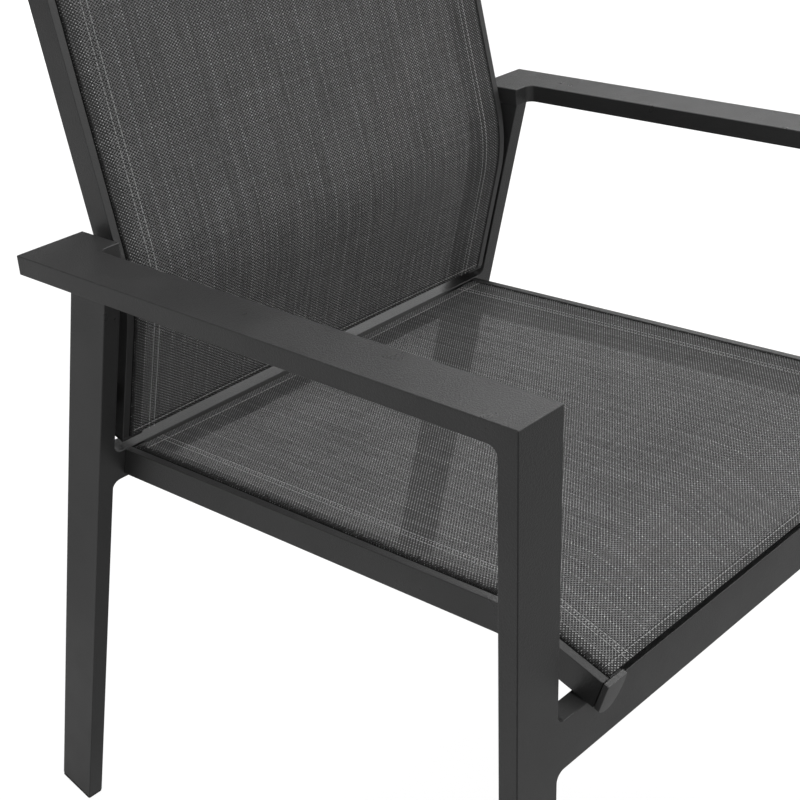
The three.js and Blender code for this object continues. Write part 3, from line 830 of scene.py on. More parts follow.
@dataclass(frozen=True)
class MeshFinish:
    """Coated mesh cloth: pale warp yarn on black yarn, its tone peaked on each warp crown as a painted
    highlight and faded down the yarn's sides as painted shade, with open pores between the yarns.
    """

    name: str = "sling_mesh"
    uv_map: str = "weave"
    ground: float = 0.012
    # Warp tones at the crowns: the yarn's own pale colour, shaped there into a painted highlight.
    crown_dark: float = 0.20
    crown_light: float = 0.76
    crown_point: float = 1.6
    roughness: float = 0.5
    specular: float = 0.35
    depth: float = 0.0004
    gap_across: float = 0.27
    gap_along: float = 0.30
    bump_strength: float = 0.8
    tone_range: Pair = (0.2, 1.0)
    bar_swing: Pair = (0.72, 1.32)
    fleck_swing: Pair = (0.82, 1.18)

    def material(self, groups: Groups) -> bpy.types.Material:
        """Build the material on the sheet's own UV map."""
        made, wire, shader = new_material(self.name)
        place = wire.node("ShaderNodeUVMap", uv_map=self.uv_map).outputs["UV"]
        weave = wire.group(groups.weave, Place=place, Gap_Across=self.gap_across,
                           Gap_Along=self.gap_along, Crown_Point=self.crown_point).outputs
        light = wire.times(wire.span(weave["Streak"], *self.tone_range, self.crown_dark,
                                     self.crown_light),
                           wire.span(weave["Bar"], *self.tone_range, *self.bar_swing),
                           wire.span(weave["Fleck"], 0.0, 1.0, *self.fleck_swing))
        # Black ground plus the warp tone shaped by the crown: yarn colour, with a painted highlight on
        # each float and painted shade down its sides.
        tone = wire.math("MULTIPLY_ADD", weave["Crown"], light, self.ground, clamp=True)
        colour = wire.node("ShaderNodeCombineColor")
        for socket in colour.inputs[:3]:
            wire.feed(socket, tone)
        for key, value in (("Base Color", colour.outputs[0]), ("Roughness", self.roughness),
                           ("Specular IOR Level", self.specular), ("Alpha", weave["Cloth"]),
                           ("Normal", wire.bump(weave["Height"], self.depth, self.bump_strength))):
            wire.feed(shader.inputs[key], value)
        return made


class Finishes:
    """Every material of the chair, by what it is on."""

    def __init__(self) -> None:
        """Build the materials."""
        groups = Groups()
        self.coat = HardFinish("satin_powder_coat", grey(0.034), 0.33,
                               grain_depth=0.00008).material(groups)
        self.cap_coat = HardFinish("satin_cap_coat", grey(0.078), 0.42,
                                   grain_depth=0.00008).material(groups)
        self.plastic = HardFinish("moulded_black_plastic", grey(0.016), 0.55, grain_scale=500.0,
                                  grain_depth=0.00003).material(groups)
        self.cord = HardFinish("extruded_keder", grey(0.005), 0.75, specular=0.25, grain_scale=700.0,
                               grain_depth=0.00012, tone_swing=0.6).material(groups)
        # Looped yarn ends on the cloth's edge roll: black yarn, whose dark also paints the shade where
        # the roll dives into the groove.
        self.yarn = HardFinish("selvedge_yarn", grey(0.014), 0.65, specular=0.3, grain_scale=700.0,
                               grain_depth=0.00012, tone_swing=0.8).material(groups)
        self.steel = HardFinish("zinc_plated_steel", grey(0.42), 0.3, metallic=1.0, grain_scale=300.0,
                                grain_depth=0.00001).material(groups)
        self.thread = HardFinish("sewing_thread", grey(0.45), 0.6, grain_scale=1500.0,
                                 grain_depth=0.00005).material(groups)
        self.seat_mesh = MeshFinish("seat_mesh").material(groups)
        # The back's cloth: the seat's cloth with smaller pores, and darker crowns that are painted
        # shade on the back.
        self.back_mesh = MeshFinish("back_mesh", gap_across=0.20, gap_along=0.22, crown_light=0.67,
                                    crown_dark=0.14).material(groups)


# ---- Welded frame ----

@dataclass(frozen=True)
class Tube:
    """A flat tube's start and its directions in the side view, on the right-hand frame."""

    side: SideView
    start: Vector
    along: Vector
    inward: Vector

    def at(self, inboard: float, along: float, depth: float) -> Vector:
        """Point at an inboard distance, a length along the tube and a depth below its outer face."""
        return self.side.point(Hand.RIGHT, inboard,
                               self.start + self.along * along + self.inward * depth)


@dataclass
class WeldedFrame:
    """Arms, legs and cross rails: flat tube, welded and ground smooth before it was coated."""

    side: SideView
    finishes: Finishes
    edge: float = 0.0008
    elbow_radius: float = 0.0065
    elbow_steps: int = 10
    tab_width: float = 0.0586
    tab_fillet: float = 0.007
    weld_radius: float = 0.007
    weld_steps: int = 8
    weld_fade: float = 0.2
    stub: float = 0.009
    front_rail_height: float = 0.0395
    front_rail_sink: float = 0.0016
    rear_rail_height: float = 0.030
    cap_thickness: float = 0.003
    cap_round: float = 0.0016
    cap_flange: float = 0.0027
    cap_edge: float = 0.0005
    plug_wall: float = 0.0021
    plug_round: float = 0.001
    plug_length: float = 0.012
    plug_end: float = 0.0015
    land: float = 0.005
    near: float = 1e-5
    seam: float = 0.0004

    def __post_init__(self) -> None:
        """Work out the legs' lengths and lay out the three tubes."""
        side = self.side
        top = side.arm_front_height - side.bar_thickness * math.sin(side.front_lean)
        self.front_reach = side.leg_reach(top, side.front_lean, self.land)
        self.rear_reach = side.leg_reach(side.tab_front.y, side.rear_lean, self.land)
        self.front_rail_drop = side.front_rail_drop + self.front_rail_sink
        self.arm = Tube(side, side.arm_front_top, side.arm_rearward, side.arm_down)
        self.front_leg = Tube(side, side.arm_front_top, side.front_down, side.front_rearward)
        self.rear_leg = Tube(side, side.tab_front, side.rear_down, side.rear_rearward)

    def _stub_outline(self, face: float, top: float, bottom: float) -> list[Pair]:
        """Outline of a weld blend and the start of a cross rail, from its lower end to its upper end.

        Args:
            face: Inboard distance of the leg's face that it grows from.
            top: How far down the rail's top is.
            bottom: How far down its bottom is.

        Returns:
            (inboard, down) points.
        """
        radius = self.weld_radius
        lower = arc((face + radius, bottom + radius), radius, 180, 270, self.weld_steps)
        upper = arc((face + radius, top - radius), radius, 90, 180, self.weld_steps)
        return [*lower, (face + self.stub, bottom), (face + self.stub, top), *upper]

    def _below_arm(self, place: Vector) -> float:
        """How far a point lies below the plane of the arm's underside."""
        return (Vector((place.y, place.z)) - self.side.arm_under).dot(self.side.arm_down)

    def _add_tube(self, bm: bmesh.types.BMesh, tube: Tube, outline: Sequence[Pair],
                  start: float) -> None:
        """Add the faces of a tube that is open at the elbow.

        Args:
            bm: Mesh to add to.
            tube: The arm or the front leg.
            outline: (inboard, along) points of its outer face. The first and last are at the elbow.
            start: How far along its inner face starts.
        """
        outer = [tube.at(x, along, 0.0) for x, along in outline]
        inner = [tube.at(x, along or start, self.side.bar_thickness) for x, along in outline]
        Bench.fill(bm, outer)
        Bench.fill(bm, inner)
        for index in range(len(outline) - 1):
            Bench.fill(bm, [outer[index], outer[index + 1], inner[index + 1], inner[index]])

    def _loop_mesh(self) -> bmesh.types.BMesh:
        """Arm and front leg as one right-hand mesh, with a curve in the inner corner."""
        side, width = self.side, self.side.bar_width
        angle = math.acos(side.arm_rearward.dot(side.front_down))
        reach = self.elbow_radius / math.tan(angle / 2)
        bisector = (side.arm_rearward + side.front_down).normalized()
        centre = side.elbow + bisector * (self.elbow_radius / math.sin(angle / 2))
        on_leg = side.elbow + side.front_down * reach
        on_arm = side.elbow + side.arm_rearward * reach
        foot, rail, tip = self.front_reach - self.cap_thickness, self.front_rail_drop, side.arm_length
        leg = [(0.0, 0.0), (0.0, foot), (width, foot),
               *self._stub_outline(width, rail, rail + self.front_rail_height), (width, 0.0)]
        tab, fillet = tip - side.tab_length, self.tab_fillet
        arm = [(0.0, 0.0), (0.0, tip), (self.tab_width, tip), (self.tab_width, tab),
               *arc((width + fillet, tab - fillet), fillet, 90, 180, self.weld_steps), (width, 0.0)]
        bm = bmesh.new()
        self._add_tube(bm, self.front_leg, leg, (on_leg - side.arm_front_top).dot(side.front_down))
        self._add_tube(bm, self.arm, arm, (on_arm - side.arm_front_top).dot(side.arm_rearward))
        bend = swept(on_leg, on_arm, centre, self.elbow_steps)
        for inboard in (0.0, width):
            Bench.fill(bm, [side.point(Hand.RIGHT, inboard, place)
                            for place in (side.arm_front_top, *bend)])
        for before, after in zip(bend, bend[1:]):
            Bench.fill(bm, [side.point(Hand.RIGHT, inboard, place) for inboard, place in (
                (0.0, before), (0.0, after), (width, after), (width, before))])
        Bench.close(bm)
        stub_end = side.x(Hand.RIGHT, width + self.stub)
        tab_start = side.x(Hand.LEFT, width + fillet) + 10 * self.near

        def share(a: Vector, b: Vector) -> float:
            """No rounding where the rail is welded on, nor where the rear leg meets the tab."""
            at_stub = all(abs(end.x - stub_end) < self.near for end in (a, b))
            under_tab = all(abs(self._below_arm(end)) < self.near and -end.x < tab_start
                            for end in (a, b))
            return float(not (at_stub or under_tab))

        Bench.weigh(bm, share)
        return bm

    def _rear_leg_mesh(self) -> bmesh.types.BMesh:
        """Rear leg with the weld blend of the rear cross rail, as one right-hand mesh."""
        side, leg = self.side, self.rear_leg
        outer, inner = side.rear_leg_inset, side.rear_leg_inner
        wide, thick = side.bar_width, side.bar_thickness
        start, length = -side.fit_gap, self.rear_reach - self.cap_thickness
        top = side.rear_rail_drop
        bottom = top + self.rear_rail_height
        low, high = bottom + self.weld_radius, top - self.weld_radius
        under = meet(side.tab_front, side.arm_rearward,
                     side.tab_front + side.rear_rearward * wide, side.rear_down)
        far_top = (under - side.tab_front).dot(side.rear_down) - side.fit_gap
        stub = self._stub_outline(inner, top, bottom)
        faces = [
            [(x, down, 0.0) for x, down in
             [(outer, start), (outer, length), (inner, length), *stub, (inner, start)]],
            [(x, down, thick) for x, down in stub],
            *([(*before, 0.0), (*after, 0.0), (*after, thick), (*before, thick)]
              for before, after in zip(stub, stub[1:])),
            [(inner, down, depth) for down, depth in (
                (start, 0.0), (high, 0.0), (high, thick), (low, thick), (low, 0.0), (length, 0.0),
                (length, wide), (far_top, wide))],
            [(outer, start, 0.0), (outer, length, 0.0), (outer, length, wide), (outer, far_top, wide)],
            [(outer, far_top, wide), (outer, length, wide), (inner, length, wide),
             (inner, far_top, wide)],
            [(outer, length, 0.0), (inner, length, 0.0), (inner, length, wide), (outer, length, wide)],
            [(outer, start, 0.0), (inner, start, 0.0), (inner, far_top, wide), (outer, far_top, wide)]]
        bm = bmesh.new()
        for corners in faces:
            Bench.fill(bm, [leg.at(*corner) for corner in corners])
        Bench.close(bm)
        face, end = side.x(Hand.RIGHT, inner), side.x(Hand.RIGHT, inner + self.stub)
        rear_plane = leg.at(inner, 0.0, thick)
        normal = Vector((0.0, side.rear_rearward.x, side.rear_rearward.y))

        def share(a: Vector, b: Vector) -> float:
            """No rounding at the welded ends, and one that fades in along the rail's rear edges."""
            at_end = all(abs(place.x - end) < self.near for place in (a, b))
            if at_end or max(self._below_arm(place) for place in (a, b)) < self.seam:
                return 0.0
            behind = [abs((place - rear_plane).dot(normal)) < self.near for place in (a, b)]
            if all(behind) and min(a.x, b.x) > face - self.near:
                fade = ((a.x + b.x) / 2 - face) / self.weld_radius - self.weld_fade
                return max(0.0, min(1.0, fade))
            return 1.0

        Bench.weigh(bm, share)
        return bm

    def _rail(self, name: str, node: str, tube: Tube, face: float, top: float, height: float) -> None:
        """Build a cross rail between its two weld blends.

        Args:
            name: Name of the piece.
            node: The solid that it stands for.
            tube: The leg that it is welded to.
            face: Inboard distance of the leg's inner face.
            top: How far down the leg its top is.
            height: Its height.
        """
        thick = self.side.bar_thickness
        corners = [(top, 0.0), (top + height, 0.0), (top + height, thick), (top, thick)]
        start = face + self.stub
        bm = bmesh.new()
        Bench.loft(bm, [[tube.at(x, down, depth) for down, depth in corners]
                        for x in (start, self.side.width - start)])
        Bench.close(bm)
        Bench.weigh_crosswise(bm)
        enrol(Bench.finish(name, bm, self.finishes.coat, self.edge), Slot.COAT, node)

    def _foot_mesh(self, tube: Tube, low: float, wide: float, deep: float,
                   reach: float) -> bmesh.types.BMesh:
        """A leg's moulded cap as a right-hand mesh: a flange with a level land, and a plug.

        Args:
            tube: The leg.
            low: Inboard distance of its outer wall.
            wide: Its size across the chair.
            deep: Its size from front to rear.
            reach: Its length with the cap.

        Returns:
            The mesh.
        """
        bm = bmesh.new()
        for wall, radius, steps, start, end in (
                (0.0, self.cap_round, 4, self.cap_flange, 0.0),
                (self.plug_wall, self.plug_round, 2, self.plug_length, self.plug_end)):
            left, right, back = low + wall, low + wide - wall, deep - wall
            outline = rounded([(left, wall), (right, wall), (right, back), (left, back)],
                              dict.fromkeys(range(4), radius), steps)
            Bench.loft(bm, [[tube.at(x, reach - short, depth) for x, depth in outline]
                            for short in (start, end)])
        for vertex in bm.verts:
            vertex.co.z = max(vertex.co.z, 0.0)
        bmesh.ops.recalc_face_normals(bm, faces=bm.faces)
        Bench.weigh(bm)
        return bm

    def build(self) -> None:
        """Build both side frames, both cross rails and the caps under the legs."""
        side, coat = self.side, self.finishes.coat
        wide, thick = side.bar_width, side.bar_thickness
        both_sides("arm_loop", self._loop_mesh, coat, Slot.COAT, ("arm", "front_leg"), self.edge)
        both_sides("rear_upright", self._rear_leg_mesh, coat, Slot.COAT, ("rear_leg",), self.edge)
        self._rail("front_rail", "front_cross_rail", self.front_leg, wide, self.front_rail_drop,
                   self.front_rail_height)
        self._rail("rear_rail", "rear_cross_rail", self.rear_leg, side.rear_leg_inner,
                   side.rear_rail_drop, self.rear_rail_height)
        for name, leg in (
                ("front_foot", (self.front_leg, 0.0, wide, thick, self.front_reach)),
                ("rear_foot", (self.rear_leg, side.rear_leg_inset, thick, wide, self.rear_reach))):
            both_sides(name, partial(self._foot_mesh, *leg), self.finishes.plastic, Slot.PLASTIC,
                       (f"{name}_cap",), self.cap_edge, 2)


# ---- Sling rails ----

@dataclass
class RailSection:
    """Section of a sling rail: strip, keder groove, ledge and belly, as (inboard, depth) points."""

    width: float = 0.020
    depth: float = 0.030
    outer_depth: float = 0.0237
    strip: float = 0.0063
    slot: float = 0.0024
    ledge_drop: float = 0.0016
    pocket_radius: float = 0.0028
    pocket_depth: float = 0.0066
    pocket_steps: int = 12
    belly_steps: int = 5
    belly: tuple[Pair, ...] = ((1.045, 0.3), (1.0, 0.6), (0.82, 0.9), (0.52, 1.0), (0.22, 0.93))
    outer_round: float = 0.0007
    lip_round: float = 0.0004

    @property
    def slot_centre(self) -> float:
        """Inboard distance of the groove's middle."""
        return self.strip + self.slot / 2

    def _belly_curve(self, start: Pair) -> list[Pair]:
        """The rounded underside from the inner top corner to the outer wall."""
        knots = [(across * self.width, down * self.depth) for across, down in self.belly]
        return spline([start, *knots, (0.0, self.outer_depth)], self.belly_steps)

    def grooved(self) -> list[Pair]:
        """Outline with the groove."""
        neck = math.asin(self.slot / 2 / self.pocket_radius)
        neck_depth = self.pocket_depth - self.pocket_radius * math.cos(neck)
        pocket = []
        for step in range(1, self.pocket_steps):
            angle = neck + 2 * (math.pi - neck) * step / self.pocket_steps
            pocket.append((self.slot_centre - self.pocket_radius * math.sin(angle),
                           self.pocket_depth - self.pocket_radius * math.cos(angle)))
        ledge = self.strip + self.slot
        top = [(0.0, 0.0), (self.strip, 0.0), (self.strip, neck_depth), *pocket, (ledge, neck_depth),
               (ledge, self.ledge_drop), (self.width, self.ledge_drop)]
        corner = len(top) - 2
        rest = self._belly_curve((self.width, self.ledge_drop))[1:]
        return rounded([*top, *rest], {0: self.outer_round, 1: self.lip_round, corner: self.lip_round})

    def plain(self) -> list[Pair]:
        """Outline without the groove, for caps."""
        outline = [(0.0, 0.0), (self.width, 0.0), *self._belly_curve((self.width, 0.0))[1:]]
        return rounded(outline, {0: self.outer_round, 1: self.outer_round})


class Sweeper:
    """Sweeps sections along side-view tracks."""

    def __init__(self, side: SideView) -> None:
        """Keep the side view."""
        self.side = side

    def ring(self, track: Track, distance: float, section: Sequence[Pair], inset: float) -> Ring:
        """A section placed at a distance along a track, on the right-hand side."""
        return [self.side.point(Hand.RIGHT, inset + inboard, track.place(distance, depth))
                for inboard, depth in section]

    def body(self, track: Track, section: Sequence[Pair], inset: float, start: float, end: float,
             spacing: float = 0.03, start_plane: tuple[Vector, Vector] | None = None,
             into: bmesh.types.BMesh | None = None) -> bmesh.types.BMesh:
        """Closed body of a section swept along part of a track.

        Args:
            track: The path.
            section: (inboard, depth) points.
            inset: Inboard distance of the section's outer wall.
            start: Distance where it starts.
            end: Distance where it ends.
            spacing: Distance between rings on straight runs.
            start_plane: Side-view point and normal of a plane that the first ring is cut to.
            into: Mesh that it is added to, where it isn't a mesh of its own.

        Returns:
            The right-hand mesh.
        """
        marks = track.marks(start, end, spacing)
        rings = [self.ring(track, distance, section, inset) for distance in marks]
        if start_plane:
            point, normal = start_plane
            way = track.way(start)
            for vertex in rings[0]:
                here = Vector((vertex.y, vertex.z))
                slide = (point - here).dot(normal) / way.dot(normal)
                vertex.y, vertex.z = here + way * slide
        bm = into or bmesh.new()
        Bench.loft(bm, rings)
        bmesh.ops.recalc_face_normals(bm, faces=bm.faces)
        return bm


@dataclass(frozen=True)
class EndCap:
    """A rail's end cap: its names, the rail's end that it closes, its own sizes and its finish."""

    name: str
    node: str
    track: Track
    inset: float
    at: float
    outward: int
    gap: float
    thickness: float
    finish: bpy.types.Material
    slot: Slot


@dataclass
class SlingRails:
    """The four grooved rails, their end caps and the bar between the back rails' tops."""

    side: SideView
    finishes: Finishes
    section: RailSection = field(default_factory=RailSection)
    shadow_gap: float = 0.0009
    seat_cap: float = 0.004
    back_cap: float = 0.0026
    cap_edge: float = 0.0005
    plug_share: Pair = (0.8, 0.84)
    plug_length: float = 0.002
    plug_overlap: float = 0.0004
    bar_height: float = 0.026
    bar_thickness: float = 0.014
    bar_setback: float = 0.004
    bar_edge: float = 0.0015
    bar_drop: float = 1e-4

    def _cap_mesh(self, cap: EndCap) -> bmesh.types.BMesh:
        """A cap as a right-hand mesh: a flange of the rail's outline and a plug behind it."""
        sweeper = Sweeper(self.side)
        outline = self.section.plain()
        middle = (self.section.width / 2, self.section.depth / 2)
        plug = [tuple(mid + (value - mid) * share
                      for value, mid, share in zip(point, middle, self.plug_share))
                for point in outline]
        face = cap.at + cap.outward * cap.gap
        bm = bmesh.new()
        for section, distances in (
                (outline, (face, cap.at + cap.outward * (cap.gap + cap.thickness))),
                (plug, (cap.at - cap.outward * self.plug_length,
                        face + cap.outward * self.plug_overlap))):
            Bench.loft(bm, [sweeper.ring(cap.track, distance, section, cap.inset)
                            for distance in distances])
        bmesh.ops.recalc_face_normals(bm, faces=bm.faces)
        Bench.weigh(bm)
        return bm

    def build(self) -> None:
        """Build the rails, the caps and the top bar."""
        side, finishes = self.side, self.finishes
        sweeper, section = Sweeper(side), self.section.grooved()
        rear_face = (side.seat.points[0] - side.rear_rearward * side.fit_gap, side.rear_rearward)
        for name, track, inset, plane in (("seat", side.seat, side.seat_inset, rear_face),
                                          ("back", side.back, side.back_inset, None)):
            both_sides(f"{name}_side_rail", partial(sweeper.body, track, section, inset, 0.0,
                                                    track.length, start_plane=plane),
                       finishes.coat, Slot.COAT, (f"{name}_rail",))
        moulded = (side.fit_gap, self.back_cap, finishes.plastic, Slot.PLASTIC)
        for cap in (
                EndCap("seat_front_cap", "seat_rail_cap", side.seat, side.seat_inset,
                       side.seat.length, 1, self.shadow_gap, self.seat_cap, finishes.cap_coat,
                       Slot.CAP),
                EndCap("back_top_cap", "back_rail_top_cap", side.back, side.back_inset, 0.0, -1,
                       *moulded),
                EndCap("back_foot_cap", "back_rail_foot_cap", side.back, side.back_inset,
                       side.back.length, 1, *moulded)):
            both_sides(cap.name, partial(self._cap_mesh, cap), cap.finish, cap.slot, (cap.node,),
                       self.cap_edge, 2)
        self._build_bar()

    def _build_bar(self) -> None:
        """Build the bar between the tops of the back rails."""
        side = self.side
        half_gap = side.back_inset + self.section.width * self.section.belly[0][0]
        front, rear = self.bar_setback, self.bar_setback + self.bar_thickness
        corners = [(self.bar_drop, front), (self.bar_height, front), (self.bar_height, rear),
                   (self.bar_drop, rear)]
        bm = bmesh.new()
        Bench.loft(bm, [[side.point(Hand.RIGHT, x, side.back.place(down, depth))
                         for down, depth in corners] for x in (half_gap, side.width - half_gap)])
        bmesh.ops.recalc_face_normals(bm, faces=bm.faces)
        Bench.weigh_crosswise(bm)
        enrol(Bench.finish("back_head_bar", bm, self.finishes.coat, self.bar_edge), Slot.COAT,
              "back_top_bar")


# ---- Slings ----

@dataclass
class Sling:
    """One stretched sheet: its hems, the keder cords that hold it, and its stitch lines.

    FRONT is roughly the way that both sheets' upper faces look.
    """

    FRONT = Vector((0.0, -0.3, 1.0))

    name: str
    side: SideView
    finishes: Finishes
    cloth: bpy.types.Material
    track: Track
    inset: float
    start: float
    end: float
    start_hem: float
    end_hem: float
    sag: float
    weft_pitch: float
    stitch_lines: tuple[float, ...]
    section: RailSection = field(default_factory=RailSection)
    level: float = -0.0006
    tuck: float = 0.0036
    roll_radius: float = 0.0014
    fold: float = 0.0006
    warp_pitch: float = 0.00171
    selvedge_set: float = 0.0008
    columns: int = 96
    spacing: float = 0.005
    roll_angles: tuple[float, ...] = (0, 22.5, 45, 67.5, 90)
    fold_angles: tuple[float, ...] = (30, 60, 90, 120, 150, 180)
    cord_radius: float = 0.0024
    cord_sides: int = 14
    lip: tuple[Pair, ...] = ((-0.0009, 0.0045), (-0.0009, 0.0005), (0.0024, 0.0003),
                             (0.0024, 0.0012), (0.0004, 0.0012), (0.0004, 0.0045))
    lip_rounds: tuple[float, ...] = (0.0006, 0.0003, 0.0003, 0.0003)
    keder_spacing: float = 0.012
    line_spacing: float = 0.006
    selvedge_ends: Pair = (0.001, 0.0005)
    thread_ends: Pair = (0.002, 0.001)
    thread_lift: float = 0.00028
    hem_share: float = 0.9
    hem_inset: float = 0.004
    hem_chords: int = 60

    def __post_init__(self) -> None:
        """Work out half the width between the grooves' middles."""
        self.half = self.side.width / 2 - self.inset - self.section.slot_centre

    @staticmethod
    def _curl(radius: float, angles: Iterable[float]) -> list[Pair]:
        """(out, down) points on a roll of the cloth, at angles in degrees from its flat run."""
        return [(radius * math.sin(math.radians(angle)), radius * (1 - math.cos(math.radians(angle))))
                for angle in angles]

    def _profile(self) -> list[tuple[float, ...]]:
        """Points across the sheet as (x, depth, distance along the cloth) from -X to +X."""
        flat_half = self.half - self.roll_radius
        right = [(flat_half + out, self.level + down)
                 for out, down in self._curl(self.roll_radius, self.roll_angles)]
        right += [(self.half, self.level + self.roll_radius + share * self.tuck) for share in (0.5, 1)]
        flat = [(-flat_half + 2 * flat_half * step / self.columns, self.level)
                for step in range(1, self.columns)]
        return measured([*((-x, depth) for x, depth in reversed(right)), *flat, *right])

    def _rows(self) -> list[tuple[float, ...]]:
        """Stations along the sheet as (place on the track, extra depth, distance along the cloth)."""
        first, last = self.start + self.fold, self.end - self.fold
        fold = self._curl(self.fold, self.fold_angles)
        head = [(first - over, drop) for over, drop in fold]
        tail = [(last + over, drop) for over, drop in fold]
        body = [(at, 0.0) for at in self.track.marks(first, last, self.spacing)]
        return measured([(first + self.start_hem, 2 * self.fold), *reversed(head), *body, *tail,
                         (last - self.end_hem, 2 * self.fold)])

    def _sink(self, x: float) -> float:
        """How much deeper the taut cloth hangs away from its rails."""
        return self.sag * max(0.0, 1 - (x / self.half) ** 2)

    def _on_cloth(self, x: float, at: float, depth: float) -> Vector:
        """Point at a distance along the track and a depth below its strip, with the sag added."""
        return Vector((x, *self.track.place(at, depth + self._sink(x))))

    def build_sheet(self) -> bpy.types.Object:
        """Build the sheet with its hems folded under."""
        profile, rows = self._profile(), self._rows()
        bm = bmesh.new()
        layer = bm.loops.layers.uv.new("weave")
        grid = [[bm.verts.new(self._on_cloth(x, at, depth + drop)) for x, depth, _ in profile]
                for at, drop, _ in rows]
        for row in range(len(rows) - 1):
            for column in range(len(profile) - 1):
                cells = ((row, column), (row, column + 1), (row + 1, column + 1), (row + 1, column))
                face = bm.faces.new([grid[i][j] for i, j in cells])
                for loop, (i, j) in zip(face.loops, cells):
                    loop[layer].uv = (profile[j][2] / self.warp_pitch, rows[i][2] / self.weft_pitch)
        bm.normal_update()
        if sum(face.normal.dot(self.FRONT) * face.calc_area() for face in bm.faces) < 0:
            bmesh.ops.reverse_faces(bm, faces=bm.faces)
        piece = Bench.loose(f"{self.name}_sling_mesh", bm)
        piece.data.materials.append(self.cloth)
        self.flat = (profile[-1][2], rows[-1][2])
        return enrol(piece, Slot.FABRIC, f"{self.name}_sling")

    def build_keder(self, hand: Hand) -> bpy.types.Object:
        """Build a side's keder: the cord in the pocket, its web and the rolled lip at the mouth."""
        section, sweeper = self.section, Sweeper(self.side)
        turns = (2 * math.pi * step / self.cord_sides for step in range(self.cord_sides))
        cord = [(section.slot_centre + self.cord_radius * math.cos(turn),
                 section.pocket_depth + self.cord_radius * math.sin(turn)) for turn in turns]
        lip = rounded([(section.slot_centre + x, depth) for x, depth in self.lip],
                      dict(enumerate(self.lip_rounds, 1)), 4)
        bm = bmesh.new()
        for outline in (cord, lip):
            sweeper.body(self.track, outline, self.inset, self.start, self.end, self.keder_spacing,
                         into=bm)
        Bench.mirror(bm, hand)
        piece = Bench.finish(f"{self.name}_keder_roll_{hand.word}", bm, self.finishes.cord)
        return enrol(piece, Slot.CORD, f"{self.name}_keder_{hand.word}")

    def selvedge_line(self, hand: Hand) -> list[Ring]:
        """Line along a side's edge roll, on which the looped black yarn ends are set; their black also
        paints the shade on the roll where it dives into the groove.
        """
        marks = self.track.marks(self.start + self.selvedge_ends[0], self.end - self.selvedge_ends[1],
                                 self.line_spacing)
        x = hand.value * (self.half - self.selvedge_set)
        return [[Vector((x, *self.track.place(at, self.level))) for at in marks]]

    def thread_lines(self) -> list[Ring]:
        """Stitch lines on the sheet: two along each side, and one across each hem."""
        lift = self.level - self.thread_lift
        marks = self.track.marks(self.start + self.thread_ends[0], self.end - self.thread_ends[1],
                                 self.line_spacing)
        lines = [[self._on_cloth(self.side.x(hand, inboard), at, lift) for at in marks]
                 for inboard in self.stitch_lines for hand in Hand]
        reach = self.half - self.hem_inset
        for at in (self.start + self.start_hem * self.hem_share,
                   self.end - self.end_hem * self.hem_share):
            lines.append([self._on_cloth(-reach + 2 * reach * step / self.hem_chords, at, lift)
                          for step in range(self.hem_chords + 1)])
        return lines


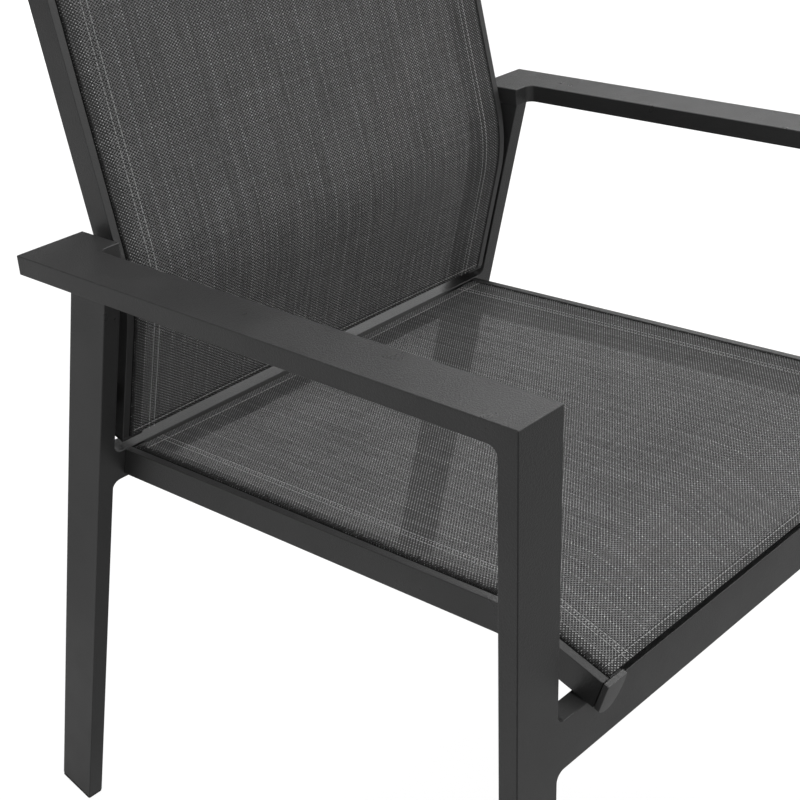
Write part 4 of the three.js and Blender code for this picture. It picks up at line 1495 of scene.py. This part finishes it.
class Repeats:
    """Geometry Nodes trees for what repeats."""

    def __init__(self) -> None:
        """Build both trees."""
        self.row = self._row_tree()
        self.points = self._points_tree()

    @staticmethod
    def _row_tree() -> bpy.types.NodeTree:
        """A part repeated along lines, in line with them."""
        tree = bpy.data.node_groups.new("part_along_lines", "GeometryNodeTree")
        sockets(tree, {"Geometry": ("Geometry", None), "Part": ("Object", None),
                       "Pitch": ("Float", 0.0036), "Size Swing": ("Float", 0.08),
                       "Turn Swing": ("Float", 0.0), "Seed": ("Int", 7),
                       "Finish": ("Material", None)}, {"Geometry": "Geometry"})
        wire = Wiring(tree)
        given = wire.node("NodeGroupInput").outputs
        curve = wire.fed("GeometryNodeMeshToCurve", {"Mesh": given["Geometry"]})
        even = wire.fed("GeometryNodeResampleCurve", {"Curve": curve.outputs["Curve"],
                                                      "Length": given["Pitch"]}, mode="LENGTH")
        chance = wire.fed("FunctionNodeRandomValue",
                          {2: wire.math("SUBTRACT", 1.0, given["Size Swing"]), 3: 1.0,
                           "Seed": given["Seed"]}, data_type="FLOAT").outputs[1]
        swing = wire.node("FunctionNodeRandomValue", data_type="FLOAT_VECTOR")
        for socket, sign in zip(swing.inputs[:2], (-1.0, 1.0)):
            limit = wire.times(given["Turn Swing"], sign)
            wire.feed(socket, wire.vector(limit, limit, limit))
        wire.feed(swing.inputs["Seed"], given["Seed"])
        placed = Repeats._placed(wire, even.outputs["Curve"], given["Part"],
                                 wire.node("GeometryNodeInputTangent").outputs[0],
                                 wire.vector(chance, chance, chance))
        shaken = wire.fed("GeometryNodeRotateInstances", {"Instances": placed,
                                                          "Rotation": swing.outputs[0]})
        Repeats._end(wire, shaken.outputs["Instances"], given["Finish"])
        return tree

    @staticmethod
    def _points_tree() -> bpy.types.NodeTree:
        """A part at each vertex, facing the middle of the chair."""
        tree = bpy.data.node_groups.new("part_at_points", "GeometryNodeTree")
        sockets(tree, {"Geometry": ("Geometry", None), "Part": ("Object", None),
                       "Finish": ("Material", None)}, {"Geometry": "Geometry"})
        wire = Wiring(tree)
        given = wire.node("NodeGroupInput").outputs
        where = wire.parts(wire.node("GeometryNodeInputPosition").outputs[0])
        way = wire.vector(wire.times(wire.math("SIGN", where[0]), -1.0))
        placed = Repeats._placed(wire, given["Geometry"], given["Part"], way)
        Repeats._end(wire, placed, given["Finish"])
        return tree

    @staticmethod
    def _placed(wire: Wiring, points: bpy.types.NodeSocket, part: bpy.types.NodeSocket,
                way: bpy.types.NodeSocket, size: bpy.types.NodeSocket | None = None
                ) -> bpy.types.NodeSocket:
        """Instances of a part at points, with its Z along a way."""
        info = wire.fed("GeometryNodeObjectInfo", {"Object": part})
        turn = wire.fed("FunctionNodeAlignRotationToVector", {"Vector": way}, axis="Z")
        return wire.fed("GeometryNodeInstanceOnPoints", {
            "Points": points, "Instance": info.outputs["Geometry"],
            "Rotation": turn.outputs["Rotation"], "Scale": size}).outputs["Instances"]

    @staticmethod
    def _end(wire: Wiring, instances: bpy.types.NodeSocket, finish: bpy.types.NodeSocket) -> None:
        """Make instances real, give them their material and send them out."""
        real = wire.fed("GeometryNodeRealizeInstances", {"Geometry": instances})
        dressed = wire.fed("GeometryNodeSetMaterial", {"Geometry": real.outputs["Geometry"],
                                                       "Material": finish})
        wire.fed("NodeGroupOutput", {"Geometry": dressed.outputs["Geometry"]})

    @staticmethod
    def apply(tree: bpy.types.NodeTree, name: str, places: Sequence[Sequence[Vector]],
              part: bpy.types.Object, finish: bpy.types.Material, **values: float) -> bpy.types.Object:
        """Run a tree on points or lines and keep the result as a plain piece.

        Args:
            tree: The tree.
            name: Name of the piece.
            places: Lines of points. Each line's neighbours are joined.
            part: The part that repeats. It is removed.
            finish: The material.
            **values: Inputs by name with spaces as underscores.

        Returns:
            The finished object.
        """
        mesh = bpy.data.meshes.new(f"{name}_places")
        points, edges = [], []
        for line in places:
            edges += [(len(points) + i, len(points) + i + 1) for i in range(len(line) - 1)]
            points += [tuple(point) for point in line]
        mesh.from_pydata(points, edges, [])
        source = put(f"{name}_places", mesh)
        modifier = source.modifiers.new("repeat", "NODES")
        modifier.node_group = tree
        given = {key.replace("_", " "): value for key, value in values.items()}
        given |= {"Part": part, "Finish": finish}
        for item in tree.interface.items_tree:
            if item.item_type == "SOCKET" and item.in_out == "INPUT" and item.name in given:
                modifier[item.identifier] = given[item.name]
        piece = Bench.plain(name, source, finish)
        scrap = part.data
        bpy.data.objects.remove(part)
        bpy.data.meshes.remove(scrap)
        return piece


def lathe(name: str, profile: Sequence[Pair], sides: int,
          hexed: Iterable[int] = ()) -> bpy.types.Object:
    """A turned part about Z, from (radius, height) points. It becomes a loose object to repeat.

    Args:
        name: Name of the object.
        profile: Points from the far end on the axis to the near end on the axis.
        sides: Vertices around.
        hexed: Numbers of the rings that are six-sided, for a hexagon socket.

    Returns:
        The part.
    """
    wedge = math.pi / 6
    bm = bmesh.new()
    rings = []
    for index, (radius, height) in enumerate(profile):
        ring = []
        for turn in (2 * math.pi * step / sides for step in range(sides)):
            reach = radius
            if index in hexed:
                reach = radius * math.cos(wedge) / math.cos(turn % (2 * wedge) - wedge)
            ring.append(Vector((reach * math.cos(turn), reach * math.sin(turn), height)))
        rings.append(ring)
    Bench.loft(bm, rings)
    bmesh.ops.remove_doubles(bm, verts=bm.verts, dist=Bench.MERGE_FINE)
    bmesh.ops.recalc_face_normals(bm, faces=bm.faces)
    return Bench.loose(name, bm, Bench.TURNED_SHARP)


@dataclass
class Fasteners:
    """Bolts, spacers and inserts that hold the back rails to the rear legs."""

    side: SideView
    finishes: Finishes
    repeats: Repeats
    rail_reach: float = 0.0209
    head_radius: float = 0.0052
    head_height: float = 0.0032
    shank_radius: float = 0.003
    socket_radius: float = 0.0023
    spacer_radius: float = 0.007
    flange_radius: float = 0.006
    flange: float = 0.0012
    insert_radius: float = 0.0046
    insert_length: float = 0.009
    socket_rings: tuple[int, ...] = (10, 11)
    tip: float = 0.0094
    thread_end: float = 0.0086
    tip_chamfer: float = 0.0006
    bore_play: float = 0.00035
    spacer_chamfer: float = 0.0005
    insert_chamfer: float = 0.0004
    flange_chamfer: float = 0.0003
    head_curve: tuple[Pair, ...] = ((1.0, 0.3), (0.94, 0.62), (0.8, 0.86), (0.6, 0.98))
    socket_curve: tuple[Pair, ...] = ((1.2, 1.0), (1.0, 0.94), (1.0, 0.3), (0.0, 0.25))

    def _places(self, inboard: float) -> list[list[Vector]]:
        """One point on each bolt's axis, at an inboard distance."""
        bolts = (self.side.upper_bolt, self.side.lower_bolt)
        return [[self.side.point(hand, inboard, bolt)] for hand in Hand for bolt in bolts]

    def build(self) -> None:
        """Build one piece of each kind."""
        steel, gap = self.finishes.steel, self.side.fit_gap
        rail_inset, leg_inner = self.side.back_inset, self.side.rear_leg_inner
        face, bore = gap + self.flange, self.shank_radius + self.bore_play
        length = rail_inset - gap - (leg_inner + gap + self.flange + gap)
        shank, head, outer = self.shank_radius, self.head_radius, self.spacer_radius
        shell, rim, depth = self.insert_radius, self.flange_radius, self.insert_length
        bolt = [(0.0, -self.rail_reach - self.tip),
                (shank - self.tip_chamfer, -self.rail_reach - self.tip),
                (shank, -self.rail_reach - self.thread_end), (shank, gap), (head, gap),
                *((head * out, self.head_height * up) for out, up in self.head_curve),
                *((self.socket_radius * out, self.head_height * up) for out, up in self.socket_curve)]
        spacer = [(bore, 0.0), (outer - self.spacer_chamfer, 0.0), (outer, self.spacer_chamfer),
                  (outer, length - self.spacer_chamfer), (outer - self.spacer_chamfer, length),
                  (bore, length), (bore, 0.0)]
        insert = [(bore, -depth), (shell - self.insert_chamfer, -depth),
                  (shell, self.insert_chamfer - depth), (shell, gap), (rim, gap),
                  (rim, face - self.flange_chamfer), (rim - self.flange_chamfer, face), (bore, face),
                  (bore, -depth)]
        for kind, inboard, profile, sides, hexed, finish, slot in (
                ("bolt", rail_inset + self.rail_reach, bolt, 24, self.socket_rings, steel,
                 Slot.STEEL),
                ("spacer", leg_inner + face + gap, spacer, 32, (), self.finishes.plastic,
                 Slot.PLASTIC),
                ("insert", leg_inner, insert, 24, (), steel, Slot.STEEL)):
            piece = Repeats.apply(self.repeats.points, f"back_{kind}s", self._places(inboard),
                                  lathe(f"{kind}_part", profile, sides, hexed), finish)
            enrol(piece, slot, *(f"{height}_{kind}_{hand.word}" for hand in Hand
                                 for height in ("upper", "lower")))


@dataclass
class Upholstery:
    """Seat and back slings with their keders and stitching."""

    side: SideView
    finishes: Finishes
    repeats: Repeats
    stitch_pitch: float = 0.0036
    stitch_length: float = 0.0029
    thread_radius: float = 0.0003
    yarn_pitch: float = 0.00125
    yarn_radius: float = 0.0005
    yarn_reaches: Pair = (0.0038, 0.0014)
    yarn_sides: int = 6
    yarn_swing: Pair = (0.3, 0.25)
    stitch_curve: tuple[Pair, ...] = ((0.0, -1.0), (0.7, -0.86), (1.0, -0.5), (1.0, 0.5), (0.7, 0.86),
                                      (0.0, 1.0))
    yarn_curve: tuple[tuple[float, ...], ...] = (
        (1, 0.0, -0.0002, 0.5), (1, -0.0006, 0.0003, 0.9), (0, 0.0, 0.0002, 1.0),
        (0, -0.0008, -0.0004, 1.0), (0, -0.00115, -0.0013, 0.9), (0, -0.00115, -0.0024, 0.6))

    def _stitch(self) -> bpy.types.Object:
        """One lock stitch, lying along Z."""
        half, radius = self.stitch_length / 2, self.thread_radius
        return lathe("stitch_part", [(radius * out, half * up) for out, up in self.stitch_curve], 6)

    def _yarn_end(self, hand: Hand, reach: float) -> bpy.types.Object:
        """One looped yarn end that lies across Z and over the cloth's edge roll.

        Args:
            hand: Side of the chair that it is for.
            reach: How far it reaches inboard over the cloth.

        Returns:
            The part.
        """
        path = [Vector((reach * far + x, y)) for far, x, y, _ in self.yarn_curve]
        rings = []
        for index, (point, (*_, share)) in enumerate(zip(path, self.yarn_curve)):
            way = (path[min(index + 1, len(path) - 1)] - path[max(index - 1, 0)]).normalized()
            ring = []
            for turn in (2 * math.pi * step / self.yarn_sides for step in range(self.yarn_sides)):
                rise = self.yarn_radius * share * math.cos(turn)
                ring.append(Vector((-hand.value * (point.x - way.y * rise), point.y + way.x * rise,
                                    self.yarn_radius * share * math.sin(turn))))
            rings.append(ring)
        bm = bmesh.new()
        Bench.loft(bm, rings)
        bmesh.ops.recalc_face_normals(bm, faces=bm.faces)
        return Bench.loose("yarn_end_part", bm)

    def build(self) -> None:
        """Build both slings."""
        side, finishes, row = self.side, self.finishes, self.repeats.row
        slings = (
            Sling("seat", side, finishes, finishes.seat_mesh, side.seat, side.seat_inset, start=0.0055,
                  end=side.seat.length - 0.0010, start_hem=0.0105, end_hem=0.0065, sag=0.0012,
                  weft_pitch=0.00124, stitch_lines=(0.0974, 0.1022)),
            Sling("back", side, finishes, finishes.back_mesh, side.back, side.back_inset, start=0.0,
                  end=side.back.length, start_hem=0.012, end_hem=0.0055, sag=0.0008,
                  weft_pitch=0.00130, stitch_lines=(0.0905, 0.0957)))
        for sling, reach in zip(slings, self.yarn_reaches):
            sheet = sling.build_sheet()
            keders = [sling.build_keder(hand) for hand in Hand]
            thread = enrol(Repeats.apply(row, f"{sling.name}_stitching", sling.thread_lines(),
                                         self._stitch(), finishes.thread, Pitch=self.stitch_pitch),
                           Slot.FABRIC)
            ends = [enrol(Repeats.apply(row, f"{sling.name}_selvedge_{hand.word}",
                                        sling.selvedge_line(hand), self._yarn_end(hand, reach),
                                        finishes.yarn, Pitch=self.yarn_pitch,
                                        Size_Swing=self.yarn_swing[0], Turn_Swing=self.yarn_swing[1]),
                          Slot.CORD) for hand in Hand]
            LOG.info("%s: flat size %.4f x %.4f m", sheet.name, *sling.flat)


# ---- Studio ----

@dataclass(frozen=True)
class SoftBox:
    """A soft box that only gloss shows: its range of azimuth in degrees, of rise, and its level."""

    azimuth: Pair
    rise: Pair
    level: float
    soft_turn: float = 4.0
    soft_rise: float = 0.07

    def shine(self, wire: Wiring, azimuth: bpy.types.NodeSocket,
              rise: bpy.types.NodeSocket) -> bpy.types.NodeSocket:
        """The box's light in a direction.

        Args:
            wire: Tree of the world.
            azimuth: Azimuth of the direction, in degrees from +X towards +Y.
            rise: Its share along +Z.

        Returns:
            The level, faded over the box's edges.
        """
        share = self.level
        for value, (low, high), soft in ((azimuth, self.azimuth, self.soft_turn),
                                         (rise, self.rise, self.soft_rise)):
            share = wire.times(wire.span(value, low - soft, low + soft, smooth=True), share)
            share = wire.times(wire.span(value, high - soft, high + soft, 1.0, 0.0, smooth=True), share)
        return share


@dataclass(frozen=True)
class Lamp:
    """A square soft lamp aimed at the chair's middle, which gloss doesn't show."""

    name: str
    place: tuple[float, float, float]
    size: float
    power: float
    aim: tuple[float, float, float] = (0.0, 0.0, 0.45)

    def build(self) -> None:
        """Place the lamp."""
        light = bpy.data.lights.new(self.name, "AREA")
        light.size = self.size
        light.energy = self.power
        holder = put(self.name, light)
        holder.location = self.place
        way = Vector(self.aim) - Vector(self.place)
        holder.rotation_euler = way.to_track_quat("-Z", "Y").to_euler()
        holder.visible_glossy = False
        holder.visible_camera = False


@dataclass
class Studio:
    """Camera, floor, world and lamps."""

    azimuth: float = math.radians(-47.228)
    elevation: float = math.radians(30.143)
    lens: float = 70.65
    sensor: float = 36.0
    clip_end: float = 100.0
    camera_offset: Vector = field(default_factory=lambda: Vector((-0.5647, -0.8964, 1.0791)))
    floor_size: float = 30.0
    floor_tone: float = 0.16
    floor_glow: float = 0.95
    glow_reach: Pair = (1.5, 6.0)
    # Glow that gloss sees on the floor: painted light, made darker by the fades below, with the chair's
    # painted shadow under and behind it.
    floor_mirror: float = 0.53
    dim_corner: Vector = field(default_factory=lambda: Vector((-1.35, -1.25, 0.0)))
    corner_fade: Fade = (0.55, 1.6, 0.2, 1.0)
    left_fade: Fade = (-0.6, 0.5, 1.0, 0.62)
    ahead_fade: Fade = (-0.75, -0.42, 0.72, 1.33)
    away_fade: Fade = (1.0, 3.5, 1.0, 0.3)
    under_chair: float = 0.5
    under_fades: tuple[Fade, Fade] = ((0.18, 0.46, 1.0, 0.0), (0.2, 0.5, 1.0, 0.0))
    behind_chair: float = 0.45
    behind_fades: tuple[Fade, Fade] = ((-1.0, -0.45, 0.0, 1.0), (0.25, 0.6, 0.0, 1.0))
    sky: float = 0.01
    boxes: tuple[SoftBox, ...] = (
        SoftBox((22.0, 43.5), (0.38, 0.61), 5.05),
        SoftBox((52.0, 80.0), (0.05, 0.45), 0.2),
        SoftBox((-90.0, 0.0), (0.0, 0.68), 1.3),
        SoftBox((-60.0, -15.0), (0.45, 0.68), 2.4),
        SoftBox((90.0, 190.0), (0.0, 0.68), 0.15),
        SoftBox((-190.0, -100.0), (0.0, 0.68), 0.8),
        SoftBox((-190.0, 190.0), (0.68, 1.2), 1.42))
    lamps: tuple[Lamp, ...] = (
        Lamp("overhead", (0.0, 0.0, 3.2), 2.5, 60.0),
        Lamp("near_side", (-2.2, 0.0, 2.6), 2.5, 12.0),
        Lamp("front_fill", (-0.6, -3.1, 1.4), 2.0, 34.0),
        Lamp("rear_fill", (0.8, 3.2, 0.35), 0.7, 80.0),
        Lamp("far_side", (3.2, 0.6, 0.35), 0.7, 60.0))

    def _build_camera(self) -> None:
        """Camera at the photograph's place, set out from the near arm's outer rear corner."""
        low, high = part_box("arm_right")
        camera = bpy.data.cameras.new("camera")
        camera.lens = self.lens
        camera.sensor_width = self.sensor
        camera.clip_end = self.clip_end
        holder = put("camera", camera)
        holder.location = Vector((low[0], high[1], 0.0)) + self.camera_offset
        level = math.cos(self.elevation)
        back = Vector((math.sin(self.azimuth) * level, -math.cos(self.azimuth) * level,
                       math.sin(self.elevation)))
        holder.rotation_euler = (-back).to_track_quat("-Z", "Y").to_euler()
        bpy.context.scene.camera = holder

    @staticmethod
    def _light_mask(wire: Wiring, names: Sequence[str]) -> bpy.types.NodeSocket:
        """1 for the named kinds of ray, else 0."""
        path = wire.node("ShaderNodeLightPath")
        mask = path.outputs[names[0]]
        for name in names[1:]:
            mask = wire.math("MAXIMUM", mask, path.outputs[name])
        return mask

    def _build_floor(self) -> None:
        """Pale floor that the camera sees as white, with the chair's faint shadow; gloss sees only its
        glow, with painted light and shade.
        """
        mesh = bpy.data.meshes.new("studio_floor")
        half = self.floor_size / 2
        mesh.from_pydata([(-half, -half, 0), (half, -half, 0), (half, half, 0), (-half, half, 0)], [],
                         [(0, 1, 2, 3)])
        floor = put("studio_floor", mesh)
        made, wire, shader = new_material("studio_floor")
        made.node_tree.nodes.remove(shader)
        matt = wire.fed("ShaderNodeBsdfDiffuse", {"Color": grey(self.floor_tone)})
        place = wire.node("ShaderNodeTexCoord").outputs["Object"]
        seen = self._light_mask(wire, ("Is Camera Ray", "Is Transmission Ray"))
        glossy = self._light_mask(wire, ("Is Glossy Ray",))
        afar = wire.fed("ShaderNodeVectorMath", {0: place}, operation="LENGTH").outputs["Value"]
        shown = wire.times(seen, wire.span(afar, *self.glow_reach, self.floor_glow, 1.0, smooth=True))
        # Camera and transmission rays see an even white glow; glossy rays see the floor's painted light
        # and shade.
        glow = wire.fed("ShaderNodeEmission", {"Strength": wire.math(
            "MULTIPLY_ADD", glossy, self._mirrored(wire, place), shown)})
        both = wire.fed("ShaderNodeAddShader", {0: matt.outputs[0], 1: glow.outputs[0]})
        last = wire.fed("ShaderNodeMixShader", {0: glossy, 1: both.outputs[0], 2: glow.outputs[0]})
        wire.feed(made.node_tree.nodes["Material Output"].inputs["Surface"], last.outputs[0])
        mesh.materials.append(made)

    def _mirrored(self, wire: Wiring, place: bpy.types.NodeSocket) -> bpy.types.NodeSocket:
        """How bright gloss shows the floor at a place: the floor's light and shade, painted into its
        glow.

        Args:
            wire: Tree of the floor's material.
            place: Place on the floor.

        Returns:
            The level, with painted shade in a far corner, to the left, ahead and away, and the chair's
            painted shadow under and behind it.
        """
        x, y, _ = wire.parts(place)
        apart = wire.fed("ShaderNodeVectorMath", {0: place, 1: self.dim_corner}, operation="DISTANCE")
        level = wire.times(
            wire.span(apart.outputs["Value"], *self.corner_fade, smooth=True),
            wire.span(x, *self.left_fade),
            wire.span(wire.math("MULTIPLY_ADD", x, 0.5, y), *self.ahead_fade),
            wire.span(wire.math("ADD", x, y), *self.away_fade))
        # Painted shadows of the chair in the floor's glow, under it and behind it.
        under = wire.times(*(wire.span(wire.math("ABSOLUTE", value), *fade, smooth=True)
                             for value, fade in zip((x, y), self.under_fades)))
        behind = wire.times(*(wire.span(value, *fade)
                              for value, fade in zip((x, y), self.behind_fades)))
        for mask, loss in ((under, self.under_chair), (behind, self.behind_chair)):
            level = wire.times(level, wire.math("MULTIPLY_ADD", mask, -loss, 1.0))
        return wire.times(level, self.floor_mirror)

    def _build_world(self) -> None:
        """White background, a dim sky, and the soft boxes that only gloss shows."""
        world = bpy.data.worlds.new("studio")
        bpy.context.scene.world = world
        world.use_nodes = True
        wire = Wiring(world.node_tree)
        background = world.node_tree.nodes["Background"]
        x, y, rise = wire.parts(wire.node("ShaderNodeTexCoord").outputs["Generated"])
        azimuth = wire.math("DEGREES", wire.math("ARCTAN2", y, x))
        boxes = 0.0
        for box in self.boxes:
            boxes = wire.math("ADD", boxes, box.shine(wire, azimuth, rise))
        seen = self._light_mask(wire, ("Is Camera Ray", "Is Transmission Ray"))
        glossy = self._light_mask(wire, ("Is Glossy Ray",))
        unseen = wire.math("SUBTRACT", 1.0, wire.math("MAXIMUM", seen, glossy))
        strength = wire.math("MULTIPLY_ADD", unseen, self.sky, seen)
        background.inputs["Color"].default_value = grey(1.0)
        wire.feed(background.inputs["Strength"], wire.math("MULTIPLY_ADD", glossy, boxes, strength))

    def build(self) -> None:
        """Build the whole studio."""
        bpy.context.scene.view_settings.view_transform = "Standard"
        self._build_camera()
        self._build_floor()
        self._build_world()
        for lamp in self.lamps:
            lamp.build()


def main() -> None:
    """Build the chair and its studio."""
    logging.basicConfig(level=logging.INFO, format="%(name)s %(message)s")
    side = SideView()
    finishes = Finishes()
    repeats = Repeats()
    Studio().build()
    WeldedFrame(side, finishes).build()
    SlingRails(side, finishes).build()
    Upholstery(side, finishes, repeats).build()
    Fasteners(side, finishes, repeats).build()


if __name__ == "__main__":
    main()
